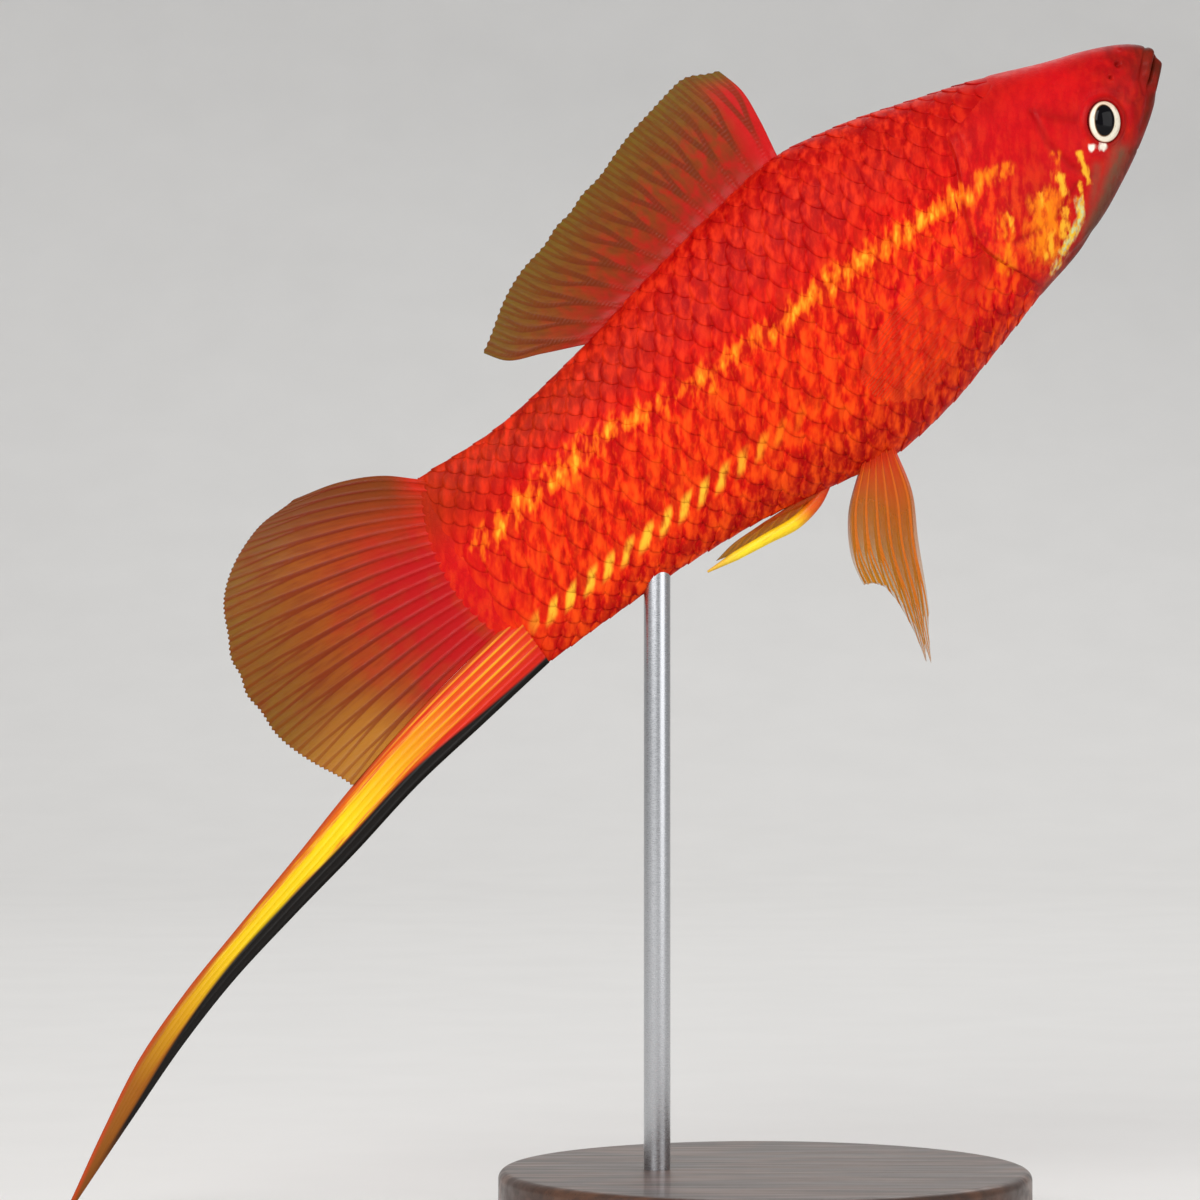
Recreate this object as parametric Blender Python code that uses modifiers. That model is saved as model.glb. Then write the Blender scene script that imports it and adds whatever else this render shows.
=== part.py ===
"""Life-size model of a male red swordtail, held in mid swim by a plain display stand.

Run with: blender --background --python part.py

Units are metres and +Z is up. The fish swims towards +X with its nose pitched up, and its
right flank faces -Y. It is modelled in its own level frame, whose origin is the tip of the
snout: "behind" is the distance back from the snout, "side" runs out to the fish's left and
"height" runs from its long axis up to its back. The empty swordtail_frame then pitches it.
"""

import math

import bmesh
import bpy
import numpy as np
from mathutils import Euler, Vector

MM = 0.001

# Pose and stand
PITCH = math.radians(35.2)
SNOUT_X = 49.25 * MM
SNOUT_Z = 104.3 * MM
JOINT_GAP = 0.3 * MM

# Body outline from the snout to the root of the tail fin:
# distance behind the snout, height of the back, height of the belly, half-width
BODY_STATIONS = MM * np.array([
    (0.0, 1.3, 1.1, 0.1),
    (0.5, 2.5, -0.1, 1.2),
    (2.0, 3.7, -1.9, 2.2),
    (5.0, 5.1, -4.2, 3.7),
    (9.0, 6.5, -6.5, 5.0),
    (14.0, 8.5, -8.8, 5.9),
    (20.0, 10.4, -10.4, 6.6),
    (27.0, 12.4, -12.4, 7.0),
    (33.5, 13.4, -14.1, 6.9),
    (40.0, 12.7, -14.8, 6.4),
    (47.0, 11.5, -13.7, 5.6),
    (53.0, 10.3, -12.7, 4.7),
    (60.0, 8.9, -12.1, 3.7),
    (68.0, 7.9, -12.0, 2.6),
    (76.0, 8.3, -12.1, 1.1),
])
WIDEST_SHARE = 0.54
BACK_ROUNDNESS = 2.0
CROWN_FLATNESS = 0.5
CROWN_REACH = 16.0 * MM
BELLY_ROUNDNESS = 1.95

# Lengths that the body is parted into; the head ends in the arc of the gill opening
NAPE = 19.8 * MM
GILL_BULGE = 3.4 * MM
GILL_HEIGHT = -3.0 * MM
GILL_SPREAD = 5.5 * MM
VENT_CUT = 58.5 * MM
TAIL_ROOT = 76.0 * MM
BODY_SEGMENTS = 36

# Gill covers, as plates let into the cheeks
COVER_TOP = 5.6 * MM
COVER_BOTTOM = -9.0 * MM
COVER_FRONT = 19.0 * MM
COVER_FRONT_BULGE = 7.0 * MM
COVER_DEPTH = 0.7 * MM
COVER_RISE = 0.25 * MM

# Eyes, mouth and nostrils
EYE_BEHIND = 7.5 * MM
EYE_HEIGHT = -1.2 * MM
EYE_RADII = (1.8 * MM, 1.25 * MM, 2.1 * MM)
EYE_SUNK = 0.6 * MM
MOUTH_TOP = 1.2 * MM
MOUTH_SLOPE = 0.85
MOUTH_REACH = 2.2 * MM
LIP_RADIUS = 0.42 * MM
LIP_SPREAD = 0.42 * MM
JAW_AHEAD = 0.15 * MM
MOUTH_SLIT = 0.16 * MM
NOSTRIL_BEHIND = 3.6 * MM
NOSTRIL_HEIGHT = 2.3 * MM
NOSTRIL_RADIUS = 0.28 * MM

# Fin membranes: thickness at the root, short of the outer edge and at the edge itself
FIN_ROOT = 0.8 * MM
FIN_THIN = 0.5 * MM
FIN_EDGE = 0.35 * MM
FIN_ROWS = 8

# Fin rays: how many, how far they stand out of the membrane and their half-width as a
# share of the room that each ray has
DORSAL_RAYS = 12
TAIL_RAYS = 17
SWORD_RAYS = 5
PELVIC_RAYS = 5
PECTORAL_RAYS = 7
RAY_RISE = 0.25 * MM
RAY_SHARE = 0.2

# Fin outlines as (behind, height): root, leading edge, trailing edge and outer edge
DORSAL_ROOT_START = 33.0 * MM
DORSAL_ROOT_END = 57.0 * MM
DORSAL_LEAD = [(32.4, 17.0), (32.2, 20.0), (32.9, 22.8)]
DORSAL_EDGE = [(36.0, 24.0), (41.0, 23.1), (47.0, 21.3), (54.0, 19.3), (60.5, 17.1)]
DORSAL_TRAIL = [(60.6, 11.0), (63.6, 12.4), (64.9, 14.2)]
TAIL_LEAD = [(78.5, 10.2), (82.0, 12.0), (86.5, 13.2)]
TAIL_EDGE = [(91.5, 12.8), (96.5, 9.7), (99.5, 4.0), (100.1, -2.0), (99.0, -7.0)]
SWORD_TOP = [(76.0, -6.9), (82.0, -7.8), (90.0, -9.3), (97.0, -11.0), (105.0, -13.3),
             (113.0, -15.5), (120.0, -17.5), (127.0, -20.1), (133.0, -23.3), (139.2, -26.9)]
SWORD_BELLY = [(76.0, -12.1), (84.0, -13.2), (92.0, -14.3), (100.0, -16.0), (108.0, -17.5),
               (116.0, -19.2), (123.0, -21.3), (130.0, -23.9), (138.9, -27.3)]
TAIL_FIN_REACH = 97.0 * MM
SWORD_CUT = 0.46
SWORD_THICKNESS = (1.1 * MM, 0.5 * MM)
SWORD_RAY_RISE = 0.12 * MM
PELVIC_ROOT_START = 39.6 * MM
PELVIC_ROOT_END = 43.0 * MM
PELVIC_SIDE = 1.5 * MM
PELVIC_SPLAY = 1.6 * MM
PELVIC_LEAD = [(40.6, -18.3), (42.6, -22.0), (45.0, -26.8)]
PELVIC_TIP = (48.0, -32.0)
PELVIC_TIP_WIDTH = (0.7 * MM, 0.3 * MM)
PELVIC_TRAIL = [(46.3, -16.8), (48.2, -20.0), (48.9, -25.5)]
PECTORAL_ROOT = ((24.6, -3.9), (24.9, -6.9))
PECTORAL_LEAD = [(28.5, -3.4), (33.0, -3.9), (37.2, -5.4)]
PECTORAL_EDGE = [(39.0, -7.2), (38.4, -9.6)]
PECTORAL_TRAIL = [(28.2, -8.9), (32.0, -10.6), (35.6, -11.3)]
PECTORAL_LIFT = 0.9 * MM

# Gonopodium: the male's anal fin, folded back as a rod
GONOPODIUM_PATH = [(47.4, -14.55), (50.0, -14.65), (53.0, -14.3), (56.5, -13.9), (59.7, -13.6)]
GONOPODIUM_RADII = (0.55, 0.62, 0.52, 0.45, 0.2)

# Display stand
BASE_X = 13.5 * MM
BASE_RADIUS = 24.0 * MM
BASE_HEIGHT = 5.0 * MM
BASE_BEVEL = 0.8 * MM
ROD_X = 3.8 * MM
ROD_RADIUS = 1.2 * MM
ROD_TOP = 60.6 * MM
SOCKET_DEPTH = 3.0 * MM

# Colours as linear RGB
CRIMSON = (0.52, 0.012, 0.012)
ORANGE_RED = (0.62, 0.035, 0.012)
FIN_RED = (0.50, 0.06, 0.01)
FIN_OLIVE = (0.42, 0.14, 0.02)
SWORD_YELLOW = (0.85, 0.55, 0.02)
SWORD_BROWN = (0.40, 0.17, 0.02)
EYE_PALE = (0.70, 0.62, 0.45)
WALNUT = (0.07, 0.035, 0.018)
STEEL = (0.55, 0.55, 0.56)


def clear_scene():
    for thing in list(bpy.data.objects):
        bpy.data.objects.remove(thing)


def new_collection(name):
    collection = bpy.data.collections.new(name)
    bpy.context.scene.collection.children.link(collection)
    return collection


def material(name, colour, roughness, metallic=0.0):
    made = bpy.data.materials.new(name)
    made.use_nodes = True
    shader = made.node_tree.nodes["Principled BSDF"]
    shader.inputs["Base Color"].default_value = (*colour, 1.0)
    shader.inputs["Roughness"].default_value = roughness
    shader.inputs["Metallic"].default_value = metallic
    return made


def smooth(knots, values, where):
    """A cubic through values at knots, with tangents from the neighbouring points."""
    slopes = np.gradient(values, knots, axis=0)
    left = np.clip(np.searchsorted(knots, where) - 1, 0, len(knots) - 2)
    step = knots[left + 1] - knots[left]
    t = (where - knots[left]) / step
    return ((2 * t**3 - 3 * t**2 + 1) * values[left] + (t**3 - 2 * t**2 + t) * step * slopes[left]
            + (3 * t**2 - 2 * t**3) * values[left + 1] + (t**3 - t**2) * step * slopes[left + 1])


def curve_through(points, shares):
    """Points at shares of the length of a smooth curve through the given ones."""
    points = np.array(points)
    knots = np.insert(np.cumsum(np.linalg.norm(np.diff(points, axis=0), axis=1)), 0, 0.0)
    return np.array([smooth(knots, points, share * knots[-1]) for share in shares])


def evenly(count):
    return np.linspace(0.0, 1.0, count)


def body_outline(behind):
    """Back, belly and half-width; the square root of the distance rounds the snout."""
    knots = np.sqrt(BODY_STATIONS[:, 0])
    reach = math.sqrt(min(max(behind, 0.0), TAIL_ROOT))
    return smooth(knots, BODY_STATIONS[:, 1:], reach)


def body_section(behind):
    """Centre, upper and lower half-height, half-width and the two roundness powers."""
    back, belly, half_width = body_outline(behind)
    centre = belly + WIDEST_SHARE * (back - belly)
    crown = BACK_ROUNDNESS + CROWN_FLATNESS * math.exp(-(behind / CROWN_REACH)**2)
    return centre, back - centre, centre - belly, half_width, crown, BELLY_ROUNDNESS


def body_point(behind, angle):
    """Skin point at an angle round the body, from the back (0) over the left flank."""
    centre, upper, lower, half_width, crown, keel = body_section(behind)
    rise, out = math.cos(angle), math.sin(angle)
    power = crown if rise > 0 else keel
    height = centre + math.copysign(abs(rise)**(2 / power), rise) * (upper if rise > 0 else lower)
    side = half_width * math.copysign(abs(out)**(2 / power), out)
    return np.array((behind, side, height))


def flank_width(behind, height):
    """Half-width of the body at a height."""
    centre, upper, lower, half_width, crown, keel = body_section(behind)
    share = (height - centre) / (upper if height > centre else lower)
    power = crown if height > centre else keel
    return half_width * max(1.0 - min(abs(share), 1.0)**power, 0.0)**(1 / power)


def belly_height(behind, side):
    """Height of the skin under the body at a distance from its middle."""
    centre, _, lower, half_width, _, keel = body_section(behind)
    return centre - lower * (1.0 - min(abs(side) / half_width, 1.0)**keel)**(1 / keel)


def flank_point(behind, height, hand, lift):
    """Point at a lift off the skin; hand is 1 for the left flank and -1 for the right."""
    step = 0.2 * MM
    width = flank_width(behind, height)
    along = (flank_width(behind + step, height) - flank_width(behind - step, height)) / (2 * step)
    up = (flank_width(behind, height + step) - flank_width(behind, height - step)) / (2 * step)
    normal = np.array((-along, 1.0, -up))
    normal /= np.linalg.norm(normal)
    spot = np.array((behind, width, height)) + normal * lift
    return spot * (1.0, hand, 1.0)


def fish_point(spot):
    """From behind, side and height to the frame of the fish's empty."""
    return Vector((-spot[0], spot[1], spot[2]))


def put(thing, collection, frame, finish):
    """Move an object to its collection, hang it in a frame and give it its material."""
    for old in thing.users_collection:
        old.objects.unlink(thing)
    collection.objects.link(thing)
    thing.parent = frame
    if finish is not None:
        thing.data.materials.clear()
        thing.data.materials.append(finish)
    return thing


def mesh_object(name, spots, faces, smooth_faces=True):
    """Closed mesh from points of the fish frame, with its faces turned outwards."""
    shape = bmesh.new()
    corners = [shape.verts.new(fish_point(spot)) for spot in spots]
    for face in faces:
        shape.faces.new([corners[i] for i in face]).smooth = smooth_faces
    bmesh.ops.recalc_face_normals(shape, faces=shape.faces)
    mesh = bpy.data.meshes.new(name)
    shape.to_mesh(mesh)
    shape.free()
    thing = bpy.data.objects.new(name, mesh)
    bpy.context.scene.collection.objects.link(thing)
    return thing


def sheet_object(name, near, far):
    """Closed sheet between two like grids of points, with the same triangles on both."""
    rows, columns, _ = near.shape
    count = rows * columns
    faces = []
    for side in (0, count):
        for i in range(rows - 1):
            for j in range(columns - 1):
                a = side + i * columns + j
                b, c, d = a + 1, a + columns + 1, a + columns
                faces.append((a, b, c))
                faces.append((a, c, d))
    rim = [j for j in range(columns)]
    rim += [i * columns + columns - 1 for i in range(1, rows)]
    rim += [(rows - 1) * columns + j for j in range(columns - 2, -1, -1)]
    rim += [i * columns for i in range(rows - 2, 0, -1)]
    for a, b in zip(rim, rim[1:] + rim[:1]):
        faces.append((a, b, b + count))
        faces.append((a, b + count, a + count))
    spots = np.concatenate([near.reshape(-1, 3), far.reshape(-1, 3)])
    return mesh_object(name, spots, faces)


def gill_shift(height):
    return GILL_BULGE * math.exp(-((height - GILL_HEIGHT) / GILL_SPREAD)**2)


def body_length(name, start, end, rings, arc_at_start, arc_at_end):
    """A length of the body between two cuts, each flat or bowed as the gill opening."""
    spots = []
    for t in np.linspace(0.0, 1.0, rings):
        for angle in np.linspace(0.0, 2 * math.pi, BODY_SEGMENTS, endpoint=False):
            behind = start + t * (end - start) if start > 0 else t * t * end
            height = body_point(behind, angle)[2]
            bow = (1 - t) * arc_at_start + t * t * arc_at_end
            spots.append(body_point(behind + bow * gill_shift(height), angle))
    faces = []
    for ring in range(rings - 1):
        for k in range(BODY_SEGMENTS):
            a = ring * BODY_SEGMENTS + k
            b = ring * BODY_SEGMENTS + (k + 1) % BODY_SEGMENTS
            faces.append((a, b, b + BODY_SEGMENTS, a + BODY_SEGMENTS))
    for first in (0, (rings - 1) * BODY_SEGMENTS):
        half = BODY_SEGMENTS // 2
        faces.append((first, first + 1, first + BODY_SEGMENTS - 1))
        faces.append((first + half, first + half - 1, first + half + 1))
        for k in range(1, half - 1):
            faces.append((first + k, first + k + 1, first + BODY_SEGMENTS - k - 1,
                          first + BODY_SEGMENTS - k))
    return mesh_object(name, spots, faces)


def add_boolean(thing, operation, other):
    change = thing.modifiers.new(operation.lower(), "BOOLEAN")
    change.operation = operation
    change.solver = "EXACT"
    if isinstance(other, bpy.types.Collection):
        change.operand_type = "COLLECTION"
        change.collection = other
    else:
        change.object = other


def cutter_look(collection):
    collection.hide_render = True
    for thing in collection.objects:
        thing.display_type = "WIRE"
        thing.hide_render = True


def cover_sheet(name, hand, margin, inside, outside):
    """Plate over the gills in the skin's own curve; a margin widens it to its recess."""
    rows, columns = 14, 10
    near = np.zeros((rows, columns, 3))
    far = np.zeros((rows, columns, 3))
    for i, v in enumerate(np.linspace(0.0, 1.0, rows)):
        height = COVER_BOTTOM - margin + v * (COVER_TOP - COVER_BOTTOM + 2 * margin)
        front = COVER_FRONT - margin - COVER_FRONT_BULGE * abs(math.sin(math.pi * v))**0.6
        rear = NAPE + gill_shift(height) - JOINT_GAP / 2 + 4 * margin
        for j, u in enumerate(np.linspace(0.0, 1.0, columns)):
            behind = front + u * (rear - front)
            near[i, j] = flank_point(behind, height, hand, -inside)
            far[i, j] = flank_point(behind, height, hand, outside)
    return sheet_object(name, near, far)


def eye_ball(name, hand, grow):
    """Flattened ball facing out of the cheek; grow widens it to its socket."""
    bpy.ops.mesh.primitive_uv_sphere_add(segments=20, ring_count=12, radius=1.0)
    ball = bpy.context.object
    ball.name = name
    ball.data.name = name
    for corner in ball.data.vertices:
        corner.co = Vector([c * (r + grow) for c, r in zip(corner.co, EYE_RADII)])
    skin = fish_point(flank_point(EYE_BEHIND, EYE_HEIGHT, hand, 0.0))
    inner = fish_point(flank_point(EYE_BEHIND, EYE_HEIGHT, hand, -EYE_SUNK))
    turn = Vector((0.0, hand, 0.0)).rotation_difference(skin - inner)
    ball.location = inner
    ball.rotation_euler = (turn @ Euler((0.0, PITCH, 0.0)).to_quaternion()).to_euler()
    for face in ball.data.polygons:
        face.use_smooth = True
    return ball


def tube(name, spots, radii, roundness):
    """Closed tube through points of the fish frame, as a mesh."""
    path = bpy.data.curves.new(name, "CURVE")
    path.dimensions = "3D"
    path.bevel_depth = 1.0
    path.bevel_resolution = roundness
    path.use_fill_caps = True
    spline = path.splines.new("POLY")
    spline.points.add(len(spots) - 1)
    for point, spot, radius in zip(spline.points, spots, radii):
        point.co = (*fish_point(spot), 1.0)
        point.radius = radius
    source = bpy.data.objects.new(name, path)
    bpy.context.scene.collection.objects.link(source)
    bpy.context.view_layer.update()
    view = source.evaluated_get(bpy.context.evaluated_depsgraph_get())
    mesh = bpy.data.meshes.new_from_object(view)
    bpy.data.objects.remove(source)
    shape = bmesh.new()
    shape.from_mesh(mesh)
    bmesh.ops.remove_doubles(shape, verts=shape.verts, dist=0.001 * MM)
    bmesh.ops.recalc_face_normals(shape, faces=shape.faces)
    for face in shape.faces:
        face.smooth = True
    shape.to_mesh(mesh)
    shape.free()
    thing = bpy.data.objects.new(name, mesh)
    bpy.context.scene.collection.objects.link(thing)
    return thing


def mouth_line(behind):
    return MOUTH_TOP - MOUTH_SLOPE * behind


def lip(name, above):
    """Rounded rim of the mouth, from one corner round the snout to the other."""
    spots = []
    radii = []
    for share in np.linspace(-1.0, 1.0, 13):
        behind = MOUTH_REACH * share**2
        height = mouth_line(behind) + above * LIP_SPREAD
        side = math.copysign(flank_width(behind, height), share)
        ahead = JAW_AHEAD if above < 0 else 0.0
        spots.append((behind - ahead, side, height))
        radii.append(LIP_RADIUS * (1.0 - 0.4 * share**2))
    return tube(name, spots, radii, 1)


def mouth_slit():
    """Thin wedge that parts the lips back to the corners of the mouth."""
    ahead = -1.0 * MM
    spots = []
    for side in (-4.0 * MM, 4.0 * MM):
        spots.append((ahead, side, mouth_line(ahead) + MOUTH_SLIT))
        spots.append((ahead, side, mouth_line(ahead) - MOUTH_SLIT))
        spots.append((MOUTH_REACH, side, mouth_line(MOUTH_REACH)))
    faces = [(0, 1, 2), (3, 5, 4), (0, 3, 4, 1), (1, 4, 5, 2), (2, 5, 3, 0)]
    return mesh_object("mouth_slit", spots, faces, smooth_faces=False)


def nostril(name, hand):
    bpy.ops.mesh.primitive_ico_sphere_add(subdivisions=2, radius=NOSTRIL_RADIUS)
    pit = bpy.context.object
    pit.name = name
    pit.location = fish_point(flank_point(NOSTRIL_BEHIND, NOSTRIL_HEIGHT, hand, 0.0))
    return pit


def ray_columns(rays):
    """Shares across a fin, three to each ray, and how much of the ray's rise each has."""
    shares, rises = [0.0], [0.0]
    for ray in range(rays):
        middle = (ray + 0.5) / rays
        shares += [middle - RAY_SHARE / rays, middle, middle + RAY_SHARE / rays]
        rises += [0.0, 1.0, 0.0]
    return np.array(shares + [1.0]), np.array(rises + [0.0])


def fin_grid(root, lead, trail, edge, across, down):
    """Points (behind, height) of a fin spanned between its four border curves."""
    root_line = curve_through(root, across)
    edge_line = curve_through([lead[-1]] + edge + [trail[-1]], across)
    lead_line = curve_through([root[0]] + lead, down)
    trail_line = curve_through([root[-1]] + trail, down)
    grid = np.zeros((len(down), len(across), 2))
    for i, v in enumerate(down):
        for j, u in enumerate(across):
            ruled = (1 - v) * root_line[j] + v * edge_line[j]
            ruled = ruled + (1 - u) * lead_line[i] + u * trail_line[i]
            near_corners = (1 - u) * root_line[0] + u * root_line[-1]
            far_corners = (1 - u) * edge_line[0] + u * edge_line[-1]
            grid[i, j] = ruled - (1 - v) * near_corners - v * far_corners
    return grid


def in_metres(points):
    return [np.array(point) * MM for point in points]


def half_thickness(v, rise):
    """Half a fin's thickness at a share of its height, on a ray (1) or off it (0)."""
    web = np.interp(v, (0.0, 0.8, 1.0), (FIN_ROOT, FIN_THIN, FIN_EDGE))
    return web / 2 + RAY_RISE * rise * (1.0 - 0.7 * v)


def fin_object(name, grid, down, rises, place):
    """Fin from its grid; place gives the point at a distance to one side of its sheet."""
    near = np.zeros((*grid.shape[:2], 3))
    far = np.zeros_like(near)
    for i, v in enumerate(down):
        for j, rise in enumerate(rises):
            half = half_thickness(v, rise)
            near[i, j] = place(*grid[i, j], v, -half)
            far[i, j] = place(*grid[i, j], v, half)
    return sheet_object(name, near, far)


def upright(behind, height, v, out):
    return behind, out, height


def dorsal_fin():
    root = []
    for share in evenly(7):
        behind = DORSAL_ROOT_START + share * (DORSAL_ROOT_END - DORSAL_ROOT_START)
        root.append(np.array((behind, body_outline(behind)[0] + JOINT_GAP)))
    across, rises = ray_columns(DORSAL_RAYS)
    grid = fin_grid(root, in_metres(DORSAL_LEAD), in_metres(DORSAL_TRAIL),
                    in_metres(DORSAL_EDGE), across, evenly(FIN_ROWS))
    return fin_object("dorsal_fin", grid, evenly(FIN_ROWS), rises, upright)


def sword_edge(points, behind):
    line = MM * np.array(points)
    return smooth(line[:, 0], line[:, 1], behind)


def tail_fin():
    root_behind = TAIL_ROOT + JOINT_GAP
    top = body_outline(TAIL_ROOT)[0] - 0.2 * MM
    bottom = sword_edge(SWORD_TOP, root_behind) + JOINT_GAP
    root = [np.array((root_behind, top + (bottom - top) * share)) for share in evenly(5)]
    trail = []
    for share in evenly(5)[1:]:
        behind = root_behind + share * (TAIL_FIN_REACH - root_behind)
        trail.append(np.array((behind, sword_edge(SWORD_TOP, behind) + JOINT_GAP)))
    across, rises = ray_columns(TAIL_RAYS)
    grid = fin_grid(root, in_metres(TAIL_LEAD), trail, in_metres(TAIL_EDGE), across,
                    evenly(FIN_ROWS))
    return fin_object("tail_fin", grid, evenly(FIN_ROWS), rises, upright)


def sword_length(name, start, end, rows):
    """A length of the sword, lens-shaped across and tapering to its tip."""
    across, rises = ray_columns(SWORD_RAYS)
    along = start + evenly(rows) * (end - start)
    top = curve_through(in_metres(SWORD_TOP), along)
    low = curve_through(in_metres(SWORD_BELLY), along)
    near = np.zeros((rows, len(across), 3))
    far = np.zeros_like(near)
    for i, v in enumerate(along):
        thick = SWORD_THICKNESS[0] + (SWORD_THICKNESS[1] - SWORD_THICKNESS[0]) * v
        for j, u in enumerate(across):
            behind, height = top[i] + (low[i] - top[i]) * u
            lens = 0.45 + 0.55 * math.sqrt(max(1 - (2 * u - 1)**2, 0.0))
            half = thick / 2 * lens + SWORD_RAY_RISE * rises[j] * (1 - v)
            near[i, j] = (behind + JOINT_GAP, -half, height)
            far[i, j] = (behind + JOINT_GAP, half, height)
    return sheet_object(name, near, far)


def pelvic_fin(name, hand):
    root = []
    for share in evenly(3):
        behind = PELVIC_ROOT_START + share * (PELVIC_ROOT_END - PELVIC_ROOT_START)
        root.append(np.array((behind, belly_height(behind, PELVIC_SIDE) - JOINT_GAP)))
    tip = np.array(PELVIC_TIP) * MM
    lead = in_metres(PELVIC_LEAD) + [tip]
    trail = in_metres(PELVIC_TRAIL) + [tip + PELVIC_TIP_WIDTH]
    across, rises = ray_columns(PELVIC_RAYS)

    def splayed(behind, height, v, out):
        return behind, hand * (PELVIC_SIDE + PELVIC_SPLAY * v + out), height

    grid = fin_grid(root, lead, trail, [], across, evenly(FIN_ROWS))
    return fin_object(name, grid, evenly(FIN_ROWS), rises, splayed)


def pectoral_fin(name, hand):
    across, rises = ray_columns(PECTORAL_RAYS)
    grid = fin_grid(in_metres(PECTORAL_ROOT), in_metres(PECTORAL_LEAD),
                    in_metres(PECTORAL_TRAIL), in_metres(PECTORAL_EDGE), across, evenly(FIN_ROWS))

    def laid_back(behind, height, v, out):
        clear = JOINT_GAP + half_thickness(0.0, 1.0)
        return flank_point(behind, height, hand, clear + PECTORAL_LIFT * v + out)

    return fin_object(name, grid, evenly(FIN_ROWS), rises, laid_back)


def gonopodium():
    path = curve_through([(b * MM, 0.0, h * MM) for b, h in GONOPODIUM_PATH], evenly(14))
    radii = np.interp(evenly(14), evenly(len(GONOPODIUM_RADII)), GONOPODIUM_RADII)
    return tube("gonopodium", path, radii * MM, 2)


def build_body(parts, cuts, frame):
    finish = material("skin_head", CRIMSON, 0.4)
    head = put(body_length("head", 0.0, NAPE - JOINT_GAP / 2, 24, 0.0, 1.0), parts, frame, finish)
    forms = new_collection("lips")
    for name, above in (("lip_upper", 1), ("lip_lower", -1)):
        put(lip(name, above), forms, frame, None)
    cutter_look(forms)
    for hand, side in ((1, "left"), (-1, "right")):
        put(eye_ball("eye_socket_" + side, hand, JOINT_GAP), cuts, frame, None)
        recess = cover_sheet("cover_recess_" + side, hand, JOINT_GAP, COVER_DEPTH + JOINT_GAP, 1.2 * MM)
        put(recess, cuts, frame, None)
        put(nostril("nostril_" + side, hand), cuts, frame, None)
    put(mouth_slit(), cuts, frame, None)
    cutter_look(cuts)
    add_boolean(head, "UNION", forms)
    add_boolean(head, "DIFFERENCE", cuts)
    finish = material("skin_torso", ORANGE_RED, 0.4)
    torso = body_length("torso", NAPE + JOINT_GAP / 2, VENT_CUT - JOINT_GAP / 2, 24, 1.0, 0.0)
    put(torso, parts, frame, finish)
    finish = material("skin_peduncle", ORANGE_RED, 0.4)
    peduncle = body_length("peduncle", VENT_CUT + JOINT_GAP / 2, TAIL_ROOT, 10, 0.0, 0.0)
    return put(peduncle, parts, frame, finish)


def build_head_parts(parts, frame):
    for hand, side in ((1, "left"), (-1, "right")):
        cover = cover_sheet("gill_cover_" + side, hand, 0.0, COVER_DEPTH, COVER_RISE)
        put(cover, parts, frame, material("skin_cover_" + side, CRIMSON, 0.35))
        eye = eye_ball("eye_" + side, hand, 0.0)
        put(eye, parts, frame, material("eye_surface_" + side, EYE_PALE, 0.1))


def build_fins(parts, frame):
    put(dorsal_fin(), parts, frame, material("fin_dorsal", FIN_OLIVE, 0.45))
    put(tail_fin(), parts, frame, material("fin_tail", FIN_RED, 0.45))
    gap = 0.5 * JOINT_GAP / (70 * MM)
    base = sword_length("sword_base", 0.0, SWORD_CUT - gap, 12)
    put(base, parts, frame, material("fin_sword_base", SWORD_YELLOW, 0.4))
    tip = sword_length("sword_tip", SWORD_CUT + gap, 1.0, 12)
    put(tip, parts, frame, material("fin_sword_tip", SWORD_BROWN, 0.4))
    for hand, side in ((1, "left"), (-1, "right")):
        put(pelvic_fin("pelvic_fin_" + side, hand), parts, frame,
            material("fin_pelvic_" + side, FIN_RED, 0.45))
        put(pectoral_fin("pectoral_fin_" + side, hand), parts, frame,
            material("fin_pectoral_" + side, FIN_RED, 0.45))
    put(gonopodium(), parts, frame, material("fin_gonopodium", SWORD_YELLOW, 0.4))


def cylinder(name, x, bottom, top, radius, sides):
    bpy.ops.mesh.primitive_cylinder_add(vertices=sides, radius=radius, depth=top - bottom,
                                        location=(x, 0.0, (bottom + top) / 2))
    made = bpy.context.object
    made.name = name
    made.data.name = name
    return made


def build_stand(parts, sockets, peduncle):
    base = cylinder("stand_base", BASE_X, 0.0, BASE_HEIGHT, BASE_RADIUS, 56)
    put(base, parts, None, material("stand_wood", WALNUT, 0.45))
    edge = base.modifiers.new("edge", "BEVEL")
    edge.width = BASE_BEVEL
    edge.segments = 2
    foot = BASE_HEIGHT - SOCKET_DEPTH
    rod = cylinder("stand_rod", ROD_X, foot + JOINT_GAP, ROD_TOP, ROD_RADIUS, 24)
    put(rod, parts, None, material("stand_steel", STEEL, 0.3, 1.0))
    hole = cylinder("rod_hole", ROD_X, foot, BASE_HEIGHT + 1.0 * MM, ROD_RADIUS + JOINT_GAP, 24)
    put(hole, sockets, None, None)
    socket = cylinder("rod_socket", ROD_X, 40.0 * MM, ROD_TOP + JOINT_GAP,
                      ROD_RADIUS + JOINT_GAP, 24)
    put(socket, sockets, None, None)
    cutter_look(sockets)
    add_boolean(base, "DIFFERENCE", hole)
    add_boolean(peduncle, "DIFFERENCE", socket)


def main():
    clear_scene()
    parts = new_collection("swordtail")
    cuts = new_collection("head_cutters")
    sockets = new_collection("stand_cutters")
    frame = bpy.data.objects.new("swordtail_frame", None)
    frame.location = (SNOUT_X, 0.0, SNOUT_Z)
    frame.rotation_euler = (0.0, -PITCH, 0.0)
    parts.objects.link(frame)
    peduncle = build_body(parts, cuts, frame)
    build_head_parts(parts, frame)
    build_fins(parts, frame)
    build_stand(parts, sockets, peduncle)


main()
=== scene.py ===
"""Looks of the swordtail: skin, scales, fins, eyes and stand, with floor, light and camera.

Points of the fish are (behind, side, height) in millimetres: the distance back from the tip
of the snout, out to the fish's left and up from its long axis.
"""

import math

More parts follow.
